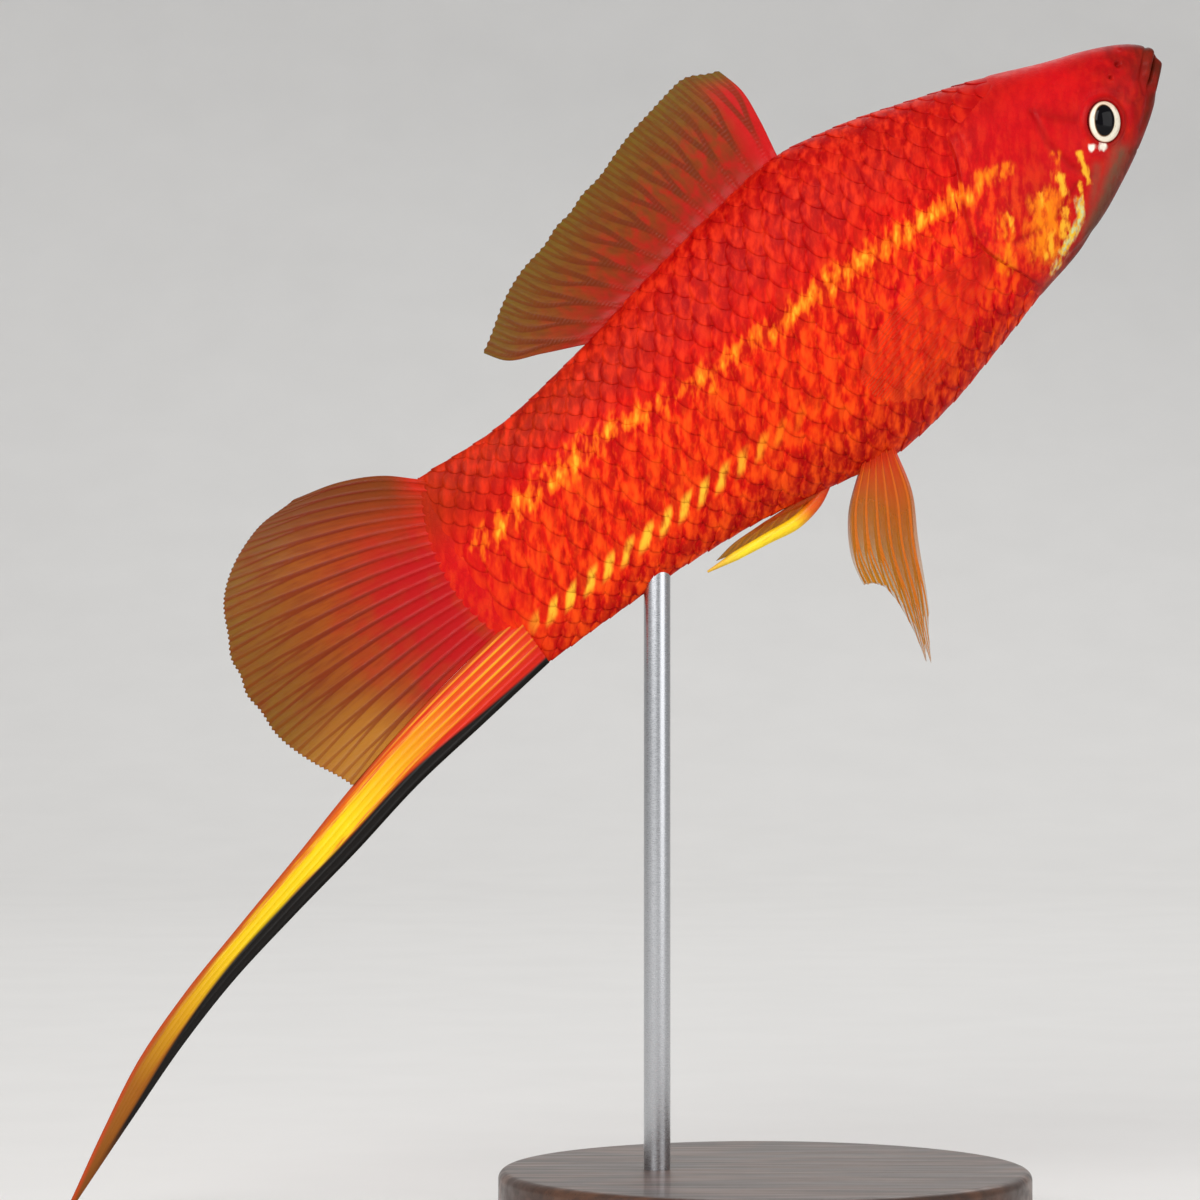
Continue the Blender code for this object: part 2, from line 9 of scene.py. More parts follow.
import bmesh
import bpy
import numpy as np
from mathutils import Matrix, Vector

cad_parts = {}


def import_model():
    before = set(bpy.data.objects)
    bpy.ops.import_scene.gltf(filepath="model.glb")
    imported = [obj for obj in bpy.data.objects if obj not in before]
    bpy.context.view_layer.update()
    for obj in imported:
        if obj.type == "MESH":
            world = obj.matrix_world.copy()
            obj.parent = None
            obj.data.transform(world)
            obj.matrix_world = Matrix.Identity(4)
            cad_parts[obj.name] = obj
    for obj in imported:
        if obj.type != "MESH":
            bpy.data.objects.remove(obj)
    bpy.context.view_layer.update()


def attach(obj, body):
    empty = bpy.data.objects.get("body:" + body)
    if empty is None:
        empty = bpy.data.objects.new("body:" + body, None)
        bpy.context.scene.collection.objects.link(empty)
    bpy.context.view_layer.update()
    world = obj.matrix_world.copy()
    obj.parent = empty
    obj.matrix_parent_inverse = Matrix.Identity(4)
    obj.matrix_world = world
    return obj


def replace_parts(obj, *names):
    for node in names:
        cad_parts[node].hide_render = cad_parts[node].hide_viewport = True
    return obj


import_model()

MM = 0.001
RANDOM = np.random.default_rng(11)

# Pose of the fish and outline of its body, as in the solids
PITCH = math.radians(35.2)
LEVEL, CLIMB = math.cos(PITCH), math.sin(PITCH)
SNOUT_X = 49.25
SNOUT_Z = 104.3
BODY_STATIONS = np.array([
    (0.0, 1.3, 1.1, 0.1),
    (0.5, 2.5, -0.1, 1.2),
    (2.0, 3.7, -1.9, 2.2),
    (5.0, 5.1, -4.2, 3.7),
    (9.0, 6.5, -6.5, 5.0),
    (14.0, 8.5, -8.8, 5.9),
    (20.0, 10.4, -10.4, 6.6),
    (27.0, 12.4, -12.4, 7.0),
    (33.5, 13.4, -14.1, 6.9),
    (40.0, 12.7, -14.8, 6.4),
    (47.0, 11.5, -13.7, 5.6),
    (53.0, 10.3, -12.7, 4.7),
    (60.0, 8.9, -12.1, 3.7),
    (68.0, 7.9, -12.0, 2.6),
    (76.0, 8.3, -12.1, 1.1),
])
WIDEST_SHARE = 0.54
BACK_ROUNDNESS = 2.0
CROWN_FLATNESS = 0.5
CROWN_REACH = 16.0
BELLY_ROUNDNESS = 1.95
TAIL_ROOT = 76.0
TAIL_LOBE = 3.6
LOBE_HEIGHT = -1.9
LOBE_SPREAD = 10.4
NAPE = 19.8
GILL_BULGE = 3.4
GILL_HEIGHT = -3.0
GILL_SPREAD = 5.5

# Eyes, mouth and nostrils
EYE_BEHIND = 7.75
EYE_HEIGHT = -1.25
EYE_RADII = (1.8, 1.25, 2.1)
EYE_SUNK = 0.6
SOCKET_SHARE = 0.88
PUPIL_SHARE = (0.56, 0.73)
MOUTH_TOP = 1.2
MOUTH_SLOPE = 0.85
MOUTH_REACH = 2.2
NOSTRILS = [(3.6, 2.3, 0.26), (4.9, 1.7, 0.17)]
HEAD_PORES = [(2.6, 3.3), (4.6, 3.5), (6.2, 2.9), (8.2, 2.4), (10.2, 1.6), (11.4, 0.1),
              (5.0, 0.4), (4.4, -1.4), (5.2, -3.3), (7.2, -4.6), (9.6, -4.2), (9.6, 4.2),
              (12.4, 3.4), (6.2, -5.0), (9.2, -6.0)]

# Creases of the head as (points, half-width, depth)
CREASES = [
    ([(2.3, -0.9), (3.6, -2.4), (5.2, -3.7)], 0.24, 0.12),
    ([(1.6, 0.9), (2.7, 0.1), (3.1, -1.2)], 0.18, 0.10),
    ([(12.6, 3.2), (13.1, 0.2), (12.6, -2.7), (11.4, -4.6)], 0.24, 0.13),
    ([(13.0, -4.4), (16.8, -6.0), (20.6, -5.4)], 0.20, 0.12),
    ([(9.4, -7.4), (13.0, -8.6), (17.4, -9.3)], 0.24, 0.16),
    ([(9.9, 0.4), (11.2, 1.5), (12.6, 3.2)], 0.30, 0.08),
]

# Guide lines of the scales as (behind, height), and rows from guide to guide
GOLD_LINE = np.array([(0.0, 0.6), (22.0, 0.9), (35.0, 1.1), (43.0, 0.8), (52.0, 0.8),
                      (62.0, 1.0), (70.0, 0.6), (76.0, -0.2)])
DASH_LINE = np.array([(0.0, -4.0), (20.0, -6.2), (48.0, -7.2), (76.0, -8.6)])
DASH_SLANT = 1.0
GOLD_PATH = np.array([(18.0, 0.6), (35.0, 1.1), (42.0, 0.8), (50.0, 0.6), (61.0, 1.7), (67.6, 1.2),
                      (70.0, 0.7), (77.0, -0.4)])
GOLD_WIDTH = [(20.0, 0.95), (34.0, 1.0), (50.0, 1.15), (62.0, 1.25)]
GOLD_STRENGTH = [(18.0, 0.0), (22.0, 1.0), (36.0, 0.95), (46.0, 0.7), (54.0, 0.6), (64.0, 0.8),
                 (74.0, 0.65), (77.5, 0.0)]
ROWS_UP = 8
ROWS_TO_DASH = 4
ROWS_DOWN = 9
SCALE_STEP = 2.15
SCALE_REACH = 1.62
SCALE_OVERLAP = 1.06
SCALE_SUNK = 0.12
SCALE_LIFT = 0.05
SCALE_THICK = 0.035
UNWRAP_LENGTH = 82.0
UNWRAP_MARGIN = 0.005
PATCH = 0.003

# Rays of the fins, and rows and columns of their grids
DORSAL_RAYS, DORSAL_GRID = 13, (84, 210)
TAIL_RAYS, TAIL_GRID = 18, (96, 290)
PELVIC_RAYS, PELVIC_GRID = 6, (100, 96)
PECTORAL_RAYS, PECTORAL_GRID = 8, (60, 130)
GONOPODIUM_RAYS, GONOPODIUM_GRID = 6, (24, 70)
SWORD_RAYS, SWORD_GRID = 7, (300, 60)
RAY_JOINTS = 26

# Fin outlines as (behind, height): root, leading edge, trailing edge and outer edge
DORSAL_ROOT = (33.0, 57.0)
DORSAL_LEAD = [(32.4, 17.0), (32.2, 20.0), (32.9, 22.8)]
DORSAL_EDGE = [(36.0, 24.0), (41.0, 23.1), (47.0, 21.3), (54.0, 19.3), (60.5, 17.1)]
DORSAL_TRAIL = [(60.6, 11.0), (63.6, 12.4), (64.9, 14.2)]
TAIL_LEAD = [(78.5, 10.2), (82.0, 12.0), (86.5, 13.2)]
TAIL_EDGE = [(91.5, 12.8), (96.5, 9.7), (99.5, 4.0), (100.1, -2.0), (99.0, -7.0)]
TAIL_REACH = 97.0
SWORD_TOP = [(76.0, -6.9), (82.0, -7.8), (90.0, -9.3), (97.0, -11.0), (105.0, -13.3),
             (113.0, -15.5), (120.0, -17.5), (127.0, -20.1), (133.0, -23.3), (139.2, -26.9)]
SWORD_BELLY = [(76.0, -12.1), (84.0, -13.2), (92.0, -14.3), (100.0, -16.0), (108.0, -17.5),
               (116.0, -19.2), (123.0, -21.3), (130.0, -23.9), (138.9, -27.3)]
SWORD_THICKNESS = (1.0, 0.45)
PELVIC_ROOT = (39.6, 43.0)
PELVIC_SIDE = 1.5
PELVIC_SPLAY = 1.6
PELVIC_LEAD = [(40.6, -18.3), (42.6, -22.0), (45.0, -26.8), (48.0, -32.0)]
PELVIC_TRAIL = [(46.3, -16.8), (48.2, -20.0), (48.9, -25.5), (48.7, -31.7)]
PECTORAL_ROOT = [(24.6, -3.9), (24.9, -6.9)]
PECTORAL_LEAD = [(28.5, -3.4), (33.0, -3.9), (37.2, -5.4)]
PECTORAL_EDGE = [(39.0, -7.2), (38.4, -9.6)]
PECTORAL_TRAIL = [(28.2, -8.9), (32.0, -10.6), (35.6, -11.3)]
GONOPODIUM_PATH = [(45.6, -12.9), (48.0, -14.1), (50.5, -14.6), (53.5, -14.3), (56.8, -13.95),
                   (59.7, -13.65)]
GONOPODIUM_RADII = [0.4, 0.58, 0.6, 0.5, 0.42, 0.1]
GONOPODIUM_WEB = ([(47.5, -13.9), (50.5, -13.4), (54.0, -12.9)], [(48.2, -14.3), (48.8, -14.6)],
                  [(56.4, -12.9), (58.6, -13.3)], [(52.0, -14.6), (56.0, -14.0)])

# Stand
BASE_X = 13.5
BASE_RADIUS = 24.0
BASE_HEIGHT = 5.0
BASE_BEVEL = 0.8
ROD_X = 3.8
ROD_RADIUS = 1.2
ROD_FOOT = 2.3
ROD_TOP = 60.6

# Camera, in millimetres of the row frame
CAMERA_PLACE = (-1.34, -450.0, 56.2)
CAMERA_LENS = 150.0
SENSOR_WIDTH = 36.0

# Studio in metres: floor, the bend up to its backdrop, and lamps as (name, place, size, power)
FLOOR_FRONT = -4.0
FLOOR_HALF_WIDTH = 4.0
BEND_START = 0.5
BEND_RADIUS = 0.5
BACKDROP_TOP = 2.4
LAMPS = [
    ("key", (-0.32, -0.60, 0.48), 0.60, 4.9),
    ("fill", (0.6, -0.55, 0.25), 0.6, 2.0),
    ("back", (0.15, 0.5, 0.55), 0.5, 1.2),
]
LAMP_TARGET = (0.0, 0.0, 0.06)
SKY_COLOUR = (0.95, 0.97, 1.0, 1.0)
SKY_STRENGTH = 0.42


def tone(colour):
    """Linear colour from an sRGB one given in 0 to 255."""
    shares = np.array(colour) / 255.0
    linear = np.where(shares <= 0.04045, shares / 12.92, ((shares + 0.055) / 1.055)**2.4)
    return (*linear.tolist(), 1.0)


# Shapes

def bundle(*parts):
    """Points or notes from their separate numbers, each spread over the same grid."""
    return np.stack(np.broadcast_arrays(*parts), axis=-1)


def smooth(knots, values, where):
    """A cubic through values at knots, with tangents from the neighbouring points."""
    slopes = np.gradient(values, knots, axis=0)
    left = np.clip(np.searchsorted(knots, where) - 1, 0, len(knots) - 2)
    gap = knots[left + 1] - knots[left]
    t = (where - knots[left]) / gap
    if values.ndim > 1:
        gap, t = gap[..., None], t[..., None]
    return ((2 * t**3 - 3 * t**2 + 1) * values[left] + (t**3 - 2 * t**2 + t) * gap * slopes[left]
            + (3 * t**2 - 2 * t**3) * values[left + 1] + (t**3 - t**2) * gap * slopes[left + 1])


def curve_through(points, shares):
    """Points at shares of the length of a smooth curve through the given ones."""
    points = np.array(points, dtype=float)
    knots = np.insert(np.cumsum(np.linalg.norm(np.diff(points, axis=0), axis=1)), 0, 0.0)
    return smooth(knots, points, np.asarray(shares) * knots[-1])


def rise(low, high, value):
    """0 at low, 1 at high and smooth between them, whichever of the two is larger."""
    t = np.clip((value - low) / (high - low), 0.0, 1.0)
    return t * t * (3 - 2 * t)


def hump(gap, width):
    return np.exp(-(gap / width)**2)


def near_line(s, h, points, width):
    """1 on a line through places of the flank, falling off over its half-width."""
    best = np.full(np.shape(s), 1e9)
    for start, end in zip(points, points[1:]):
        along = np.array(end) - np.array(start)
        share = ((s - start[0]) * along[0] + (h - start[1]) * along[1]) / (along @ along)
        share = np.clip(share, 0.0, 1.0)
        gap = np.hypot(s - start[0] - share * along[0], h - start[1] - share * along[1])
        best = np.minimum(best, gap)
    return hump(best, width)


def body_outline(behind):
    knots = np.sqrt(BODY_STATIONS[:, 0])
    return smooth(knots, BODY_STATIONS[:, 1:], np.sqrt(np.clip(behind, 0.0, TAIL_ROOT)))


def body_levels(behind):
    """Height of back, widest place and belly, half width, and roundness of the upper half."""
    back, belly, half_width = np.moveaxis(body_outline(behind), -1, 0)
    centre = belly + WIDEST_SHARE * (back - belly)
    crown = BACK_ROUNDNESS + CROWN_FLATNESS * np.exp(-(behind / CROWN_REACH)**2)
    return back, centre, belly, half_width, crown


def section(behind, angle):
    """Side and height of the bare body at an angle round it, from 0 at the back."""
    back, centre, belly, half_width, crown = body_levels(behind)
    up, out = np.cos(angle), np.sin(angle)
    power = np.where(up > 0, crown, BELLY_ROUNDNESS)
    reach = np.where(up > 0, back - centre, centre - belly)
    height = centre + np.sign(up) * np.abs(up)**(2 / power) * reach
    side = half_width * np.sign(out) * np.abs(out)**(2 / power)
    return side, height


def surface(along, angle):
    """Points of the bare body, which past the tail root thins into a lobe on the fin."""
    behind = np.clip(along, 0.0, TAIL_ROOT)
    side, height = section(behind, angle)
    lobe = np.clip((along - TAIL_ROOT) / TAIL_LOBE, 0.0, 1.0)
    bow = np.clip(1 - ((height - LOBE_HEIGHT) / LOBE_SPREAD)**2, 0.0, 1.0)
    behind = behind + lobe * TAIL_LOBE * bow
    side = side * (1 - 0.97 * lobe**1.4)
    return bundle(behind, side, height)


def lifted(along, angle, lift):
    """Points at a lift off the bare body."""
    ahead = surface(along + 0.05, angle) - surface(along - 0.05, angle)
    round_it = surface(along, angle + 0.01) - surface(along, angle - 0.01)
    normal = np.cross(ahead, round_it)
    normal /= np.linalg.norm(normal, axis=-1, keepdims=True) + 1e-12
    return surface(along, angle) + normal * lift[..., None]


def look_up(table, first, second, a, b):
    """Value of an evenly spaced table between its knots."""
    i = np.clip((a - first[0]) / (first[1] - first[0]), 0, len(first) - 1.001)
    j = np.clip((b - second[0]) / (second[1] - second[0]), 0, len(second) - 1.001)
    m, n = i.astype(int), j.astype(int)
    u, v = i - m, j - n
    return ((1 - u) * (1 - v) * table[m, n] + (1 - u) * v * table[m, n + 1]
            + u * (1 - v) * table[m + 1, n] + u * v * table[m + 1, n + 1])


STATION_KNOTS = np.linspace(0.0, TAIL_ROOT, 305)
SHARE_KNOTS = np.linspace(0.0, 1.0, 201)
ROW_KNOTS = np.linspace(-ROWS_UP, ROWS_DOWN, 171)


def body_tables():
    """Angle at each share of the way round a flank, and that share at each row of scales."""
    angles = np.linspace(0.0, math.pi, 721)
    side, height = section(STATION_KNOTS[:, None], angles[None])
    gaps = np.hypot(np.diff(side, axis=1), np.diff(height, axis=1))
    arcs = np.insert(np.cumsum(gaps, axis=1), 0, 0.0, axis=1)
    arcs /= arcs[:, -1:]
    gold = np.interp(STATION_KNOTS, *GOLD_LINE.T)
    dash = np.interp(STATION_KNOTS, *DASH_LINE.T)
    turn = np.empty((len(STATION_KNOTS), len(SHARE_KNOTS)))
    rows = np.empty((len(STATION_KNOTS), len(ROW_KNOTS)))
    for i in range(len(STATION_KNOTS)):
        turn[i] = np.interp(SHARE_KNOTS, arcs[i], angles)
        to_gold = np.interp(-gold[i], -height[i], arcs[i])
        to_dash = np.interp(-dash[i], -height[i], arcs[i])
        rows[i] = np.interp(ROW_KNOTS, (-ROWS_UP, 0, ROWS_TO_DASH, ROWS_DOWN),
                            (0.0, to_gold, to_dash, 1.0))
    return turn, rows


TURN, ROWS = body_tables()


def angle_at_share(along, share):
    return look_up(TURN, STATION_KNOTS, SHARE_KNOTS, np.minimum(along, TAIL_ROOT), share)


def share_at_row(along, row):
    return look_up(ROWS, STATION_KNOTS, ROW_KNOTS, np.minimum(along, TAIL_ROOT), row)


def angle_at_row(along, row):
    """Angle of a place in the rows of the left flank; rows past a midline go on over it."""
    over, under = row < -ROWS_UP, row > ROWS_DOWN
    folded = np.where(over, -2 * ROWS_UP - row, np.where(under, 2 * ROWS_DOWN - row, row))
    angle = angle_at_share(along, share_at_row(along, folded))
    return np.where(over, -angle, np.where(under, 2 * math.pi - angle, angle))


def gill_shift(height):
    return GILL_BULGE * hump(height - GILL_HEIGHT, GILL_SPREAD)


def scale_start(height):
    """How far back the scales begin: behind the gill opening, and further forward above it."""
    return NAPE + gill_shift(height) + 0.4 - 6.8 * rise(5.0, 7.6, height)


def world(points):
    """Metres of the row frame from points of the fish."""
    s, side, h = np.moveaxis(points, -1, 0)
    x = SNOUT_X - s * LEVEL - h * CLIMB
    z = SNOUT_Z - s * CLIMB + h * LEVEL
    return bundle(x, side, z) * MM


# Meshes

def put(name, data):
    """A new object in the scene."""
    made = bpy.data.objects.new(name, data)
    bpy.context.scene.collection.objects.link(made)
    return made


def mesh_piece(name, places, faces, finish, notes, chart=None):
    """Piece from metres and lists of faces, with notes as point attributes.

    A coat piece has a chart, the place of each point on its map. The faces of any other piece
    are turned outwards.
    """
    mesh = bpy.data.meshes.new(name)
    mesh.vertices.add(places.size // 3)
    mesh.vertices.foreach_set("co", places.ravel())
    corners = np.concatenate([group.ravel() for group in faces])
    sizes = np.concatenate([np.full(len(group), group.shape[1]) for group in faces])
    mesh.loops.add(len(corners))
    mesh.loops.foreach_set("vertex_index", corners.astype(np.int32))
    mesh.polygons.add(len(sizes))
    mesh.polygons.foreach_set("loop_start", (np.cumsum(sizes) - sizes).astype(np.int32))
    for label, values in notes.items():
        kept = mesh.attributes.new(label, "FLOAT_VECTOR", "POINT")
        kept.data.foreach_set("vector", values.astype(np.float32).ravel())
    if chart is not None:
        layer = mesh.uv_layers.new(name="OFBake")
        layer.data.foreach_set("uv", unwrapped(chart, corners, sizes).astype(np.float32).ravel())
    mesh.update(calc_edges=True)
    mesh.validate()
    mesh.shade_smooth()
    mesh.materials.append(finish)
    if chart is None:
        turn_out(mesh)
    piece = put(name, mesh)
    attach(piece, "root")
    return piece


def along_map(behind):
    """Place along the map of the coat, from the snout to past the tail root."""
    return UNWRAP_MARGIN + (1 - 2 * UNWRAP_MARGIN) * behind / UNWRAP_LENGTH


def unwrapped(chart, corners, sizes):
    """Place on the map of each corner; faces over the seam at the back run on past its edge."""
    spots = chart.reshape(-1, 2)[corners]
    owner = np.repeat(np.arange(len(sizes)), sizes)
    top = np.zeros(len(sizes))
    np.maximum.at(top, owner, spots[:, 1])
    spots[(top[owner] > 0.9) & (spots[:, 1] < 0.1), 1] += 1.0
    return spots


def turn_out(mesh):
    shape = bmesh.new()
    shape.from_mesh(mesh)
    bmesh.ops.recalc_face_normals(shape, faces=shape.faces)
    shape.to_mesh(mesh)
    shape.free()


def grid_faces(rows, columns, wrap=False):
    """Quads of a grid of points, row by row; wrap joins its last column to its first."""
    i, j = np.meshgrid(np.arange(rows - 1), np.arange(columns if wrap else columns - 1),
                       indexing="ij")
    k = (j + 1) % columns
    a, b = i * columns + j, i * columns + k
    return bundle(a, b, b + columns, a + columns).reshape(-1, 4)


def grid_rim(rows, columns):
    """Points round the border of a grid, in turn."""
    return np.concatenate((np.arange(columns), np.arange(1, rows) * columns + columns - 1,
                           (rows - 1) * columns + np.arange(columns - 2, -1, -1),
                           np.arange(rows - 2, 0, -1) * columns))


def sheet_faces(rows, columns):
    """Quads of a closed sheet: near grid, far grid and the rim between them."""
    count = rows * columns
    near = grid_faces(rows, columns)
    rim = grid_rim(rows, columns)
    after = np.roll(rim, -1)
    band = bundle(after, rim, rim + count, after + count)
    return np.concatenate((near, (near + count)[:, ::-1], band))


def tube_faces(rings, segments):
    """Faces of a closed tube: its wall and a cap at each end."""
    end = np.arange(segments)
    return [grid_faces(rings, segments, wrap=True), end[None],
            ((rings - 1) * segments + end)[None]]


def tube_piece(name, places, finish, notes):
    """Closed tube of rings of points."""
    return mesh_piece(name, places, tube_faces(*places.shape[:2]), finish, notes)


def sheet_piece(name, near, far, finish, notes):
    """Closed sheet between two grids of points of the fish, which share their notes."""
    points = np.stack((near, far))
    shared = {label: np.stack((note, note)) for label, note in notes.items()}
    return mesh_piece(name, world(points), [sheet_faces(*near.shape[:2])], finish,
                      {"fish": points, **shared})


# Nodes

class Value:
    """A number, point or colour in the nodes of one material; sums and products add nodes."""

    def __init__(self, graph, socket):
        self.graph, self.socket = graph, socket

    def math(self, operation, other=None):
        return self.graph.node("Math", self, other, operation=operation)

    def __add__(self, other):
        return self.math("ADD", other)

    def __sub__(self, other):
        return self.math("SUBTRACT", other)

    def __rsub__(self, other):
        return self.graph.node("Math", other, self, operation="SUBTRACT")

    def __mul__(self, other):
        return self.math("MULTIPLY", other)

    def __truediv__(self, other):
        return self.math("DIVIDE", other)

    def __pow__(self, other):
        return self.math("POWER", other)

    def __abs__(self):
        return self.math("ABSOLUTE")

    def span(self, low, high, start=0.0, end=1.0):
        """Smooth step from start, where the value is low, to end, where it is high."""
        return self.graph.node("MapRange", self, low, high, start, end,
                               interpolation_type="SMOOTHSTEP")

    def between(self, first, second):
        """Colour that goes from the first to the second as this value goes from 0 to 1."""
        made = self.graph.tree.nodes.new("ShaderNodeMix")
        made.data_type = "RGBA"
        for socket, value in zip((made.inputs[0], *made.inputs[6:8]), (self, first, second)):
            self.graph.feed(socket, value)
        return Value(self.graph, made.outputs[2])

    def paint(self, tint, share):
        """This colour with a share of another over it."""
        return share.between(self, tint)

    def ramp(self, stops):
        """Colour at this value on a band of (place, colour)."""
        made = self.graph.tree.nodes.new("ShaderNodeValToRGB")
        self.graph.feed(made.inputs[0], self)
        band = made.color_ramp
        while len(band.elements) < len(stops):
            band.elements.new(0.5)
        for element, (place, colour) in zip(band.elements, stops):
            element.position = place
            element.color = tone(colour)
        return Value(self.graph, made.outputs[0])

    def bump(self, strength, distance):
        """Normal of a surface with this relief, its distance in millimetres."""
        made = self.graph.tree.nodes.new("ShaderNodeBump")
        for name, value in (("Strength", strength), ("Distance", distance * MM), ("Height", self)):
            self.graph.feed(made.inputs[name], value)
        return Value(self.graph, made.outputs[0])


class Graph:
    """Nodes of one material. A colour fed to them is an sRGB one given in 0 to 255."""

    def __init__(self, name):
        self.material = bpy.data.materials.new(name)
        self.material.use_nodes = True
        self.tree = self.material.node_tree
        self.tree.nodes.clear()

    def feed(self, socket, value):
        if isinstance(value, Value):
            self.tree.links.new(value.socket, socket)
        elif value is not None:
            socket.default_value = tone(value) if socket.type == "RGBA" else value

    def node(self, kind, *values, out=0, **settings):
        """An output of a new node, fed with values in the order of its inputs."""
        made = self.tree.nodes.new("ShaderNode" + kind)
        for key, value in settings.items():
            setattr(made, key, value)
        for socket, value in zip(made.inputs, values):
            self.feed(socket, value)
        return Value(self, made.outputs[out])

    def parts(self, name):
        """The three numbers of a point attribute, and the attribute itself."""
        source = self.node("Attribute", out="Vector", attribute_name=name)
        apart = self.node("SeparateXYZ", source).socket.node
        return [*(Value(self, socket) for socket in apart.outputs), source]

    def noise(self, where, scale, detail=2.0, stretch=None):
        if stretch:
            where = self.node("VectorMath", where, stretch, operation="MULTIPLY")
        return self.node("TexNoise", where, None, scale, detail)

    def finish(self, colour, rough, **sockets):
        """Ends in a principled shader; a name's underscores stand for the spaces."""
        shader = self.tree.nodes.new("ShaderNodeBsdfPrincipled")
        for name, value in dict(Base_Color=colour, Roughness=rough, **sockets).items():
            self.feed(shader.inputs[name.replace("_", " ")], value)
        out = self.tree.nodes.new("ShaderNodeOutputMaterial")
        self.tree.links.new(shader.outputs[0], out.inputs[0])
        return self.material


# Colours of the flesh
SNOUT_RED = (108, 10, 4)
HEAD_RED = (198, 0, 12)
NAPE_RED = (180, 10, 4)
FLANK_RED = (222, 16, 6)
FLANK_ORANGE = (234, 34, 4)
# Dark red of the flank's blotches and streaks, also used as painted shade in the head's creases
# and at the front of each scale
FLANK_DARK_AND_SHADE = (152, 0, 2)
BACK_RED = (184, 4, 2)
PEDUNCLE_BROWN = (164, 36, 2)
GILL_CRIMSON = (226, 0, 22)
BELLY_SHADE_RED = (176, 6, 6)
LOW_STREAK = (250, 80, 14)
HIGH_STREAK = (228, 48, 18)
GOLD = (255, 184, 44)
LINE_ORANGE = (255, 116, 16)
ORANGE = (255, 132, 10)
PEARL = (214, 222, 160)
PEARL_YELLOW = (255, 206, 52)
BROWN = (74, 30, 10)
THROAT = (116, 84, 62)
TAIL_CRIMSON = (206, 4, 14)
PALE_SPOT = (255, 244, 226)

# Marks of the head as (points, half-width, strength)
GOLD_MARKS = [
    ([(11.3, -2.3), (11.6, -3.4), (12.0, -4.9)], 0.30, 1.0),
    ([(13.9, -3.0), (14.3, -4.4)], 0.42, 0.95),
    ([(12.7, -4.4), (13.5, -5.8)], 0.24, 0.7),
    ([(15.2, -5.6), (16.4, -7.4)], 0.55, 0.75),
    ([(17.4, -6.6), (18.8, -8.0)], 0.5, 0.6),
    ([(16.2, -3.2), (16.8, -4.6)], 0.32, 0.45),
    ([(19.4, -2.6), (20.2, -4.4)], 0.35, 0.4),
]
PEARL_MARKS = [
    ([(13.6, -5.6), (14.3, -7.0), (17.4, -8.6)], 0.40, 0.9),
    ([(16.0, -8.0), (19.0, -9.3)], 0.45, 0.55),
]
ORANGE_MARKS = [
    ([(16.4, -4.7), (18.4, -7.2)], 1.7, 0.9),
    ([(20.4, -3.4), (22.4, -6.6)], 0.9, 0.55),
    ([(13.2, -1.2), (14.4, -2.8)], 0.6, 0.35),
    ([(19.6, 0.9), (17.6, 0.2)], 0.8, 0.5),
]
BROWN_MARKS = [
    ([(0.0, 2.4), (0.3, 0.8), (1.2, -0.9)], 1.35, 0.95),
    ([(1.2, -1.3), (5.0, -4.3), (10.0, -6.9), (14.0, -8.8), (20.0, -10.6)], 0.9, 0.95),
]
THROAT_MARKS = [
    ([(8.0, -4.4), (11.0, -6.6), (14.0, -8.4)], 0.9, 0.9),
    ([(10.6, -4.2), (12.6, -6.6)], 0.5, 0.5),
]
PALE_SPOTS = [(9.25, -2.95, 0.40), (10.05, -2.45, 0.36)]


def strongest(s, h, marks):
    best = np.zeros(np.shape(s))
    for points, width, strength in marks:
        best = np.maximum(best, strength * near_line(s, h, points, width))
    return best


def flesh_notes(points):
    """Point attributes that carry a place on the fish and the marks of head and flank."""
    s, _, h = np.moveaxis(points, -1, 0)
    pale = np.zeros(np.shape(s))
    for behind, height, radius in PALE_SPOTS:
        pale = np.maximum(pale, hump(np.hypot(s - behind, h - height), radius))
    bright = bundle(*(strongest(s, h, marks) for marks in (GOLD_MARKS, ORANGE_MARKS, PEARL_MARKS)))
    dull = bundle(strongest(s, h, BROWN_MARKS), strongest(s, h, THROAT_MARKS), pale)
    gold = (np.interp(s, *np.transpose(GOLD_STRENGTH))
            * hump(h - np.interp(s, *GOLD_PATH.T), np.interp(s, *np.transpose(GOLD_WIDTH))))
    above = h - np.interp(s, *DASH_LINE.T)
    turn = (s + DASH_SLANT * above) / SCALE_STEP + 0.5
    lines = bundle(gold, above, turn)
    return {"fish": points, "bright": bright, "dull": dull, "lines": lines}


def upright_noise(nodes, place, across, up, detail=2.0):
    """Noise in streaks that stand upright in the world on the pitched fish."""
    parts = [nodes.node("VectorMath", place, axis, out="Value", operation="DOT_PRODUCT")
             for axis in ((LEVEL * across, 0.0, CLIMB * across), (0.0, 0.5 * across, 0.0),
                          (-CLIMB * up, 0.0, LEVEL * up))]
    return nodes.noise(nodes.node("CombineXYZ", *parts), 1.0, detail)


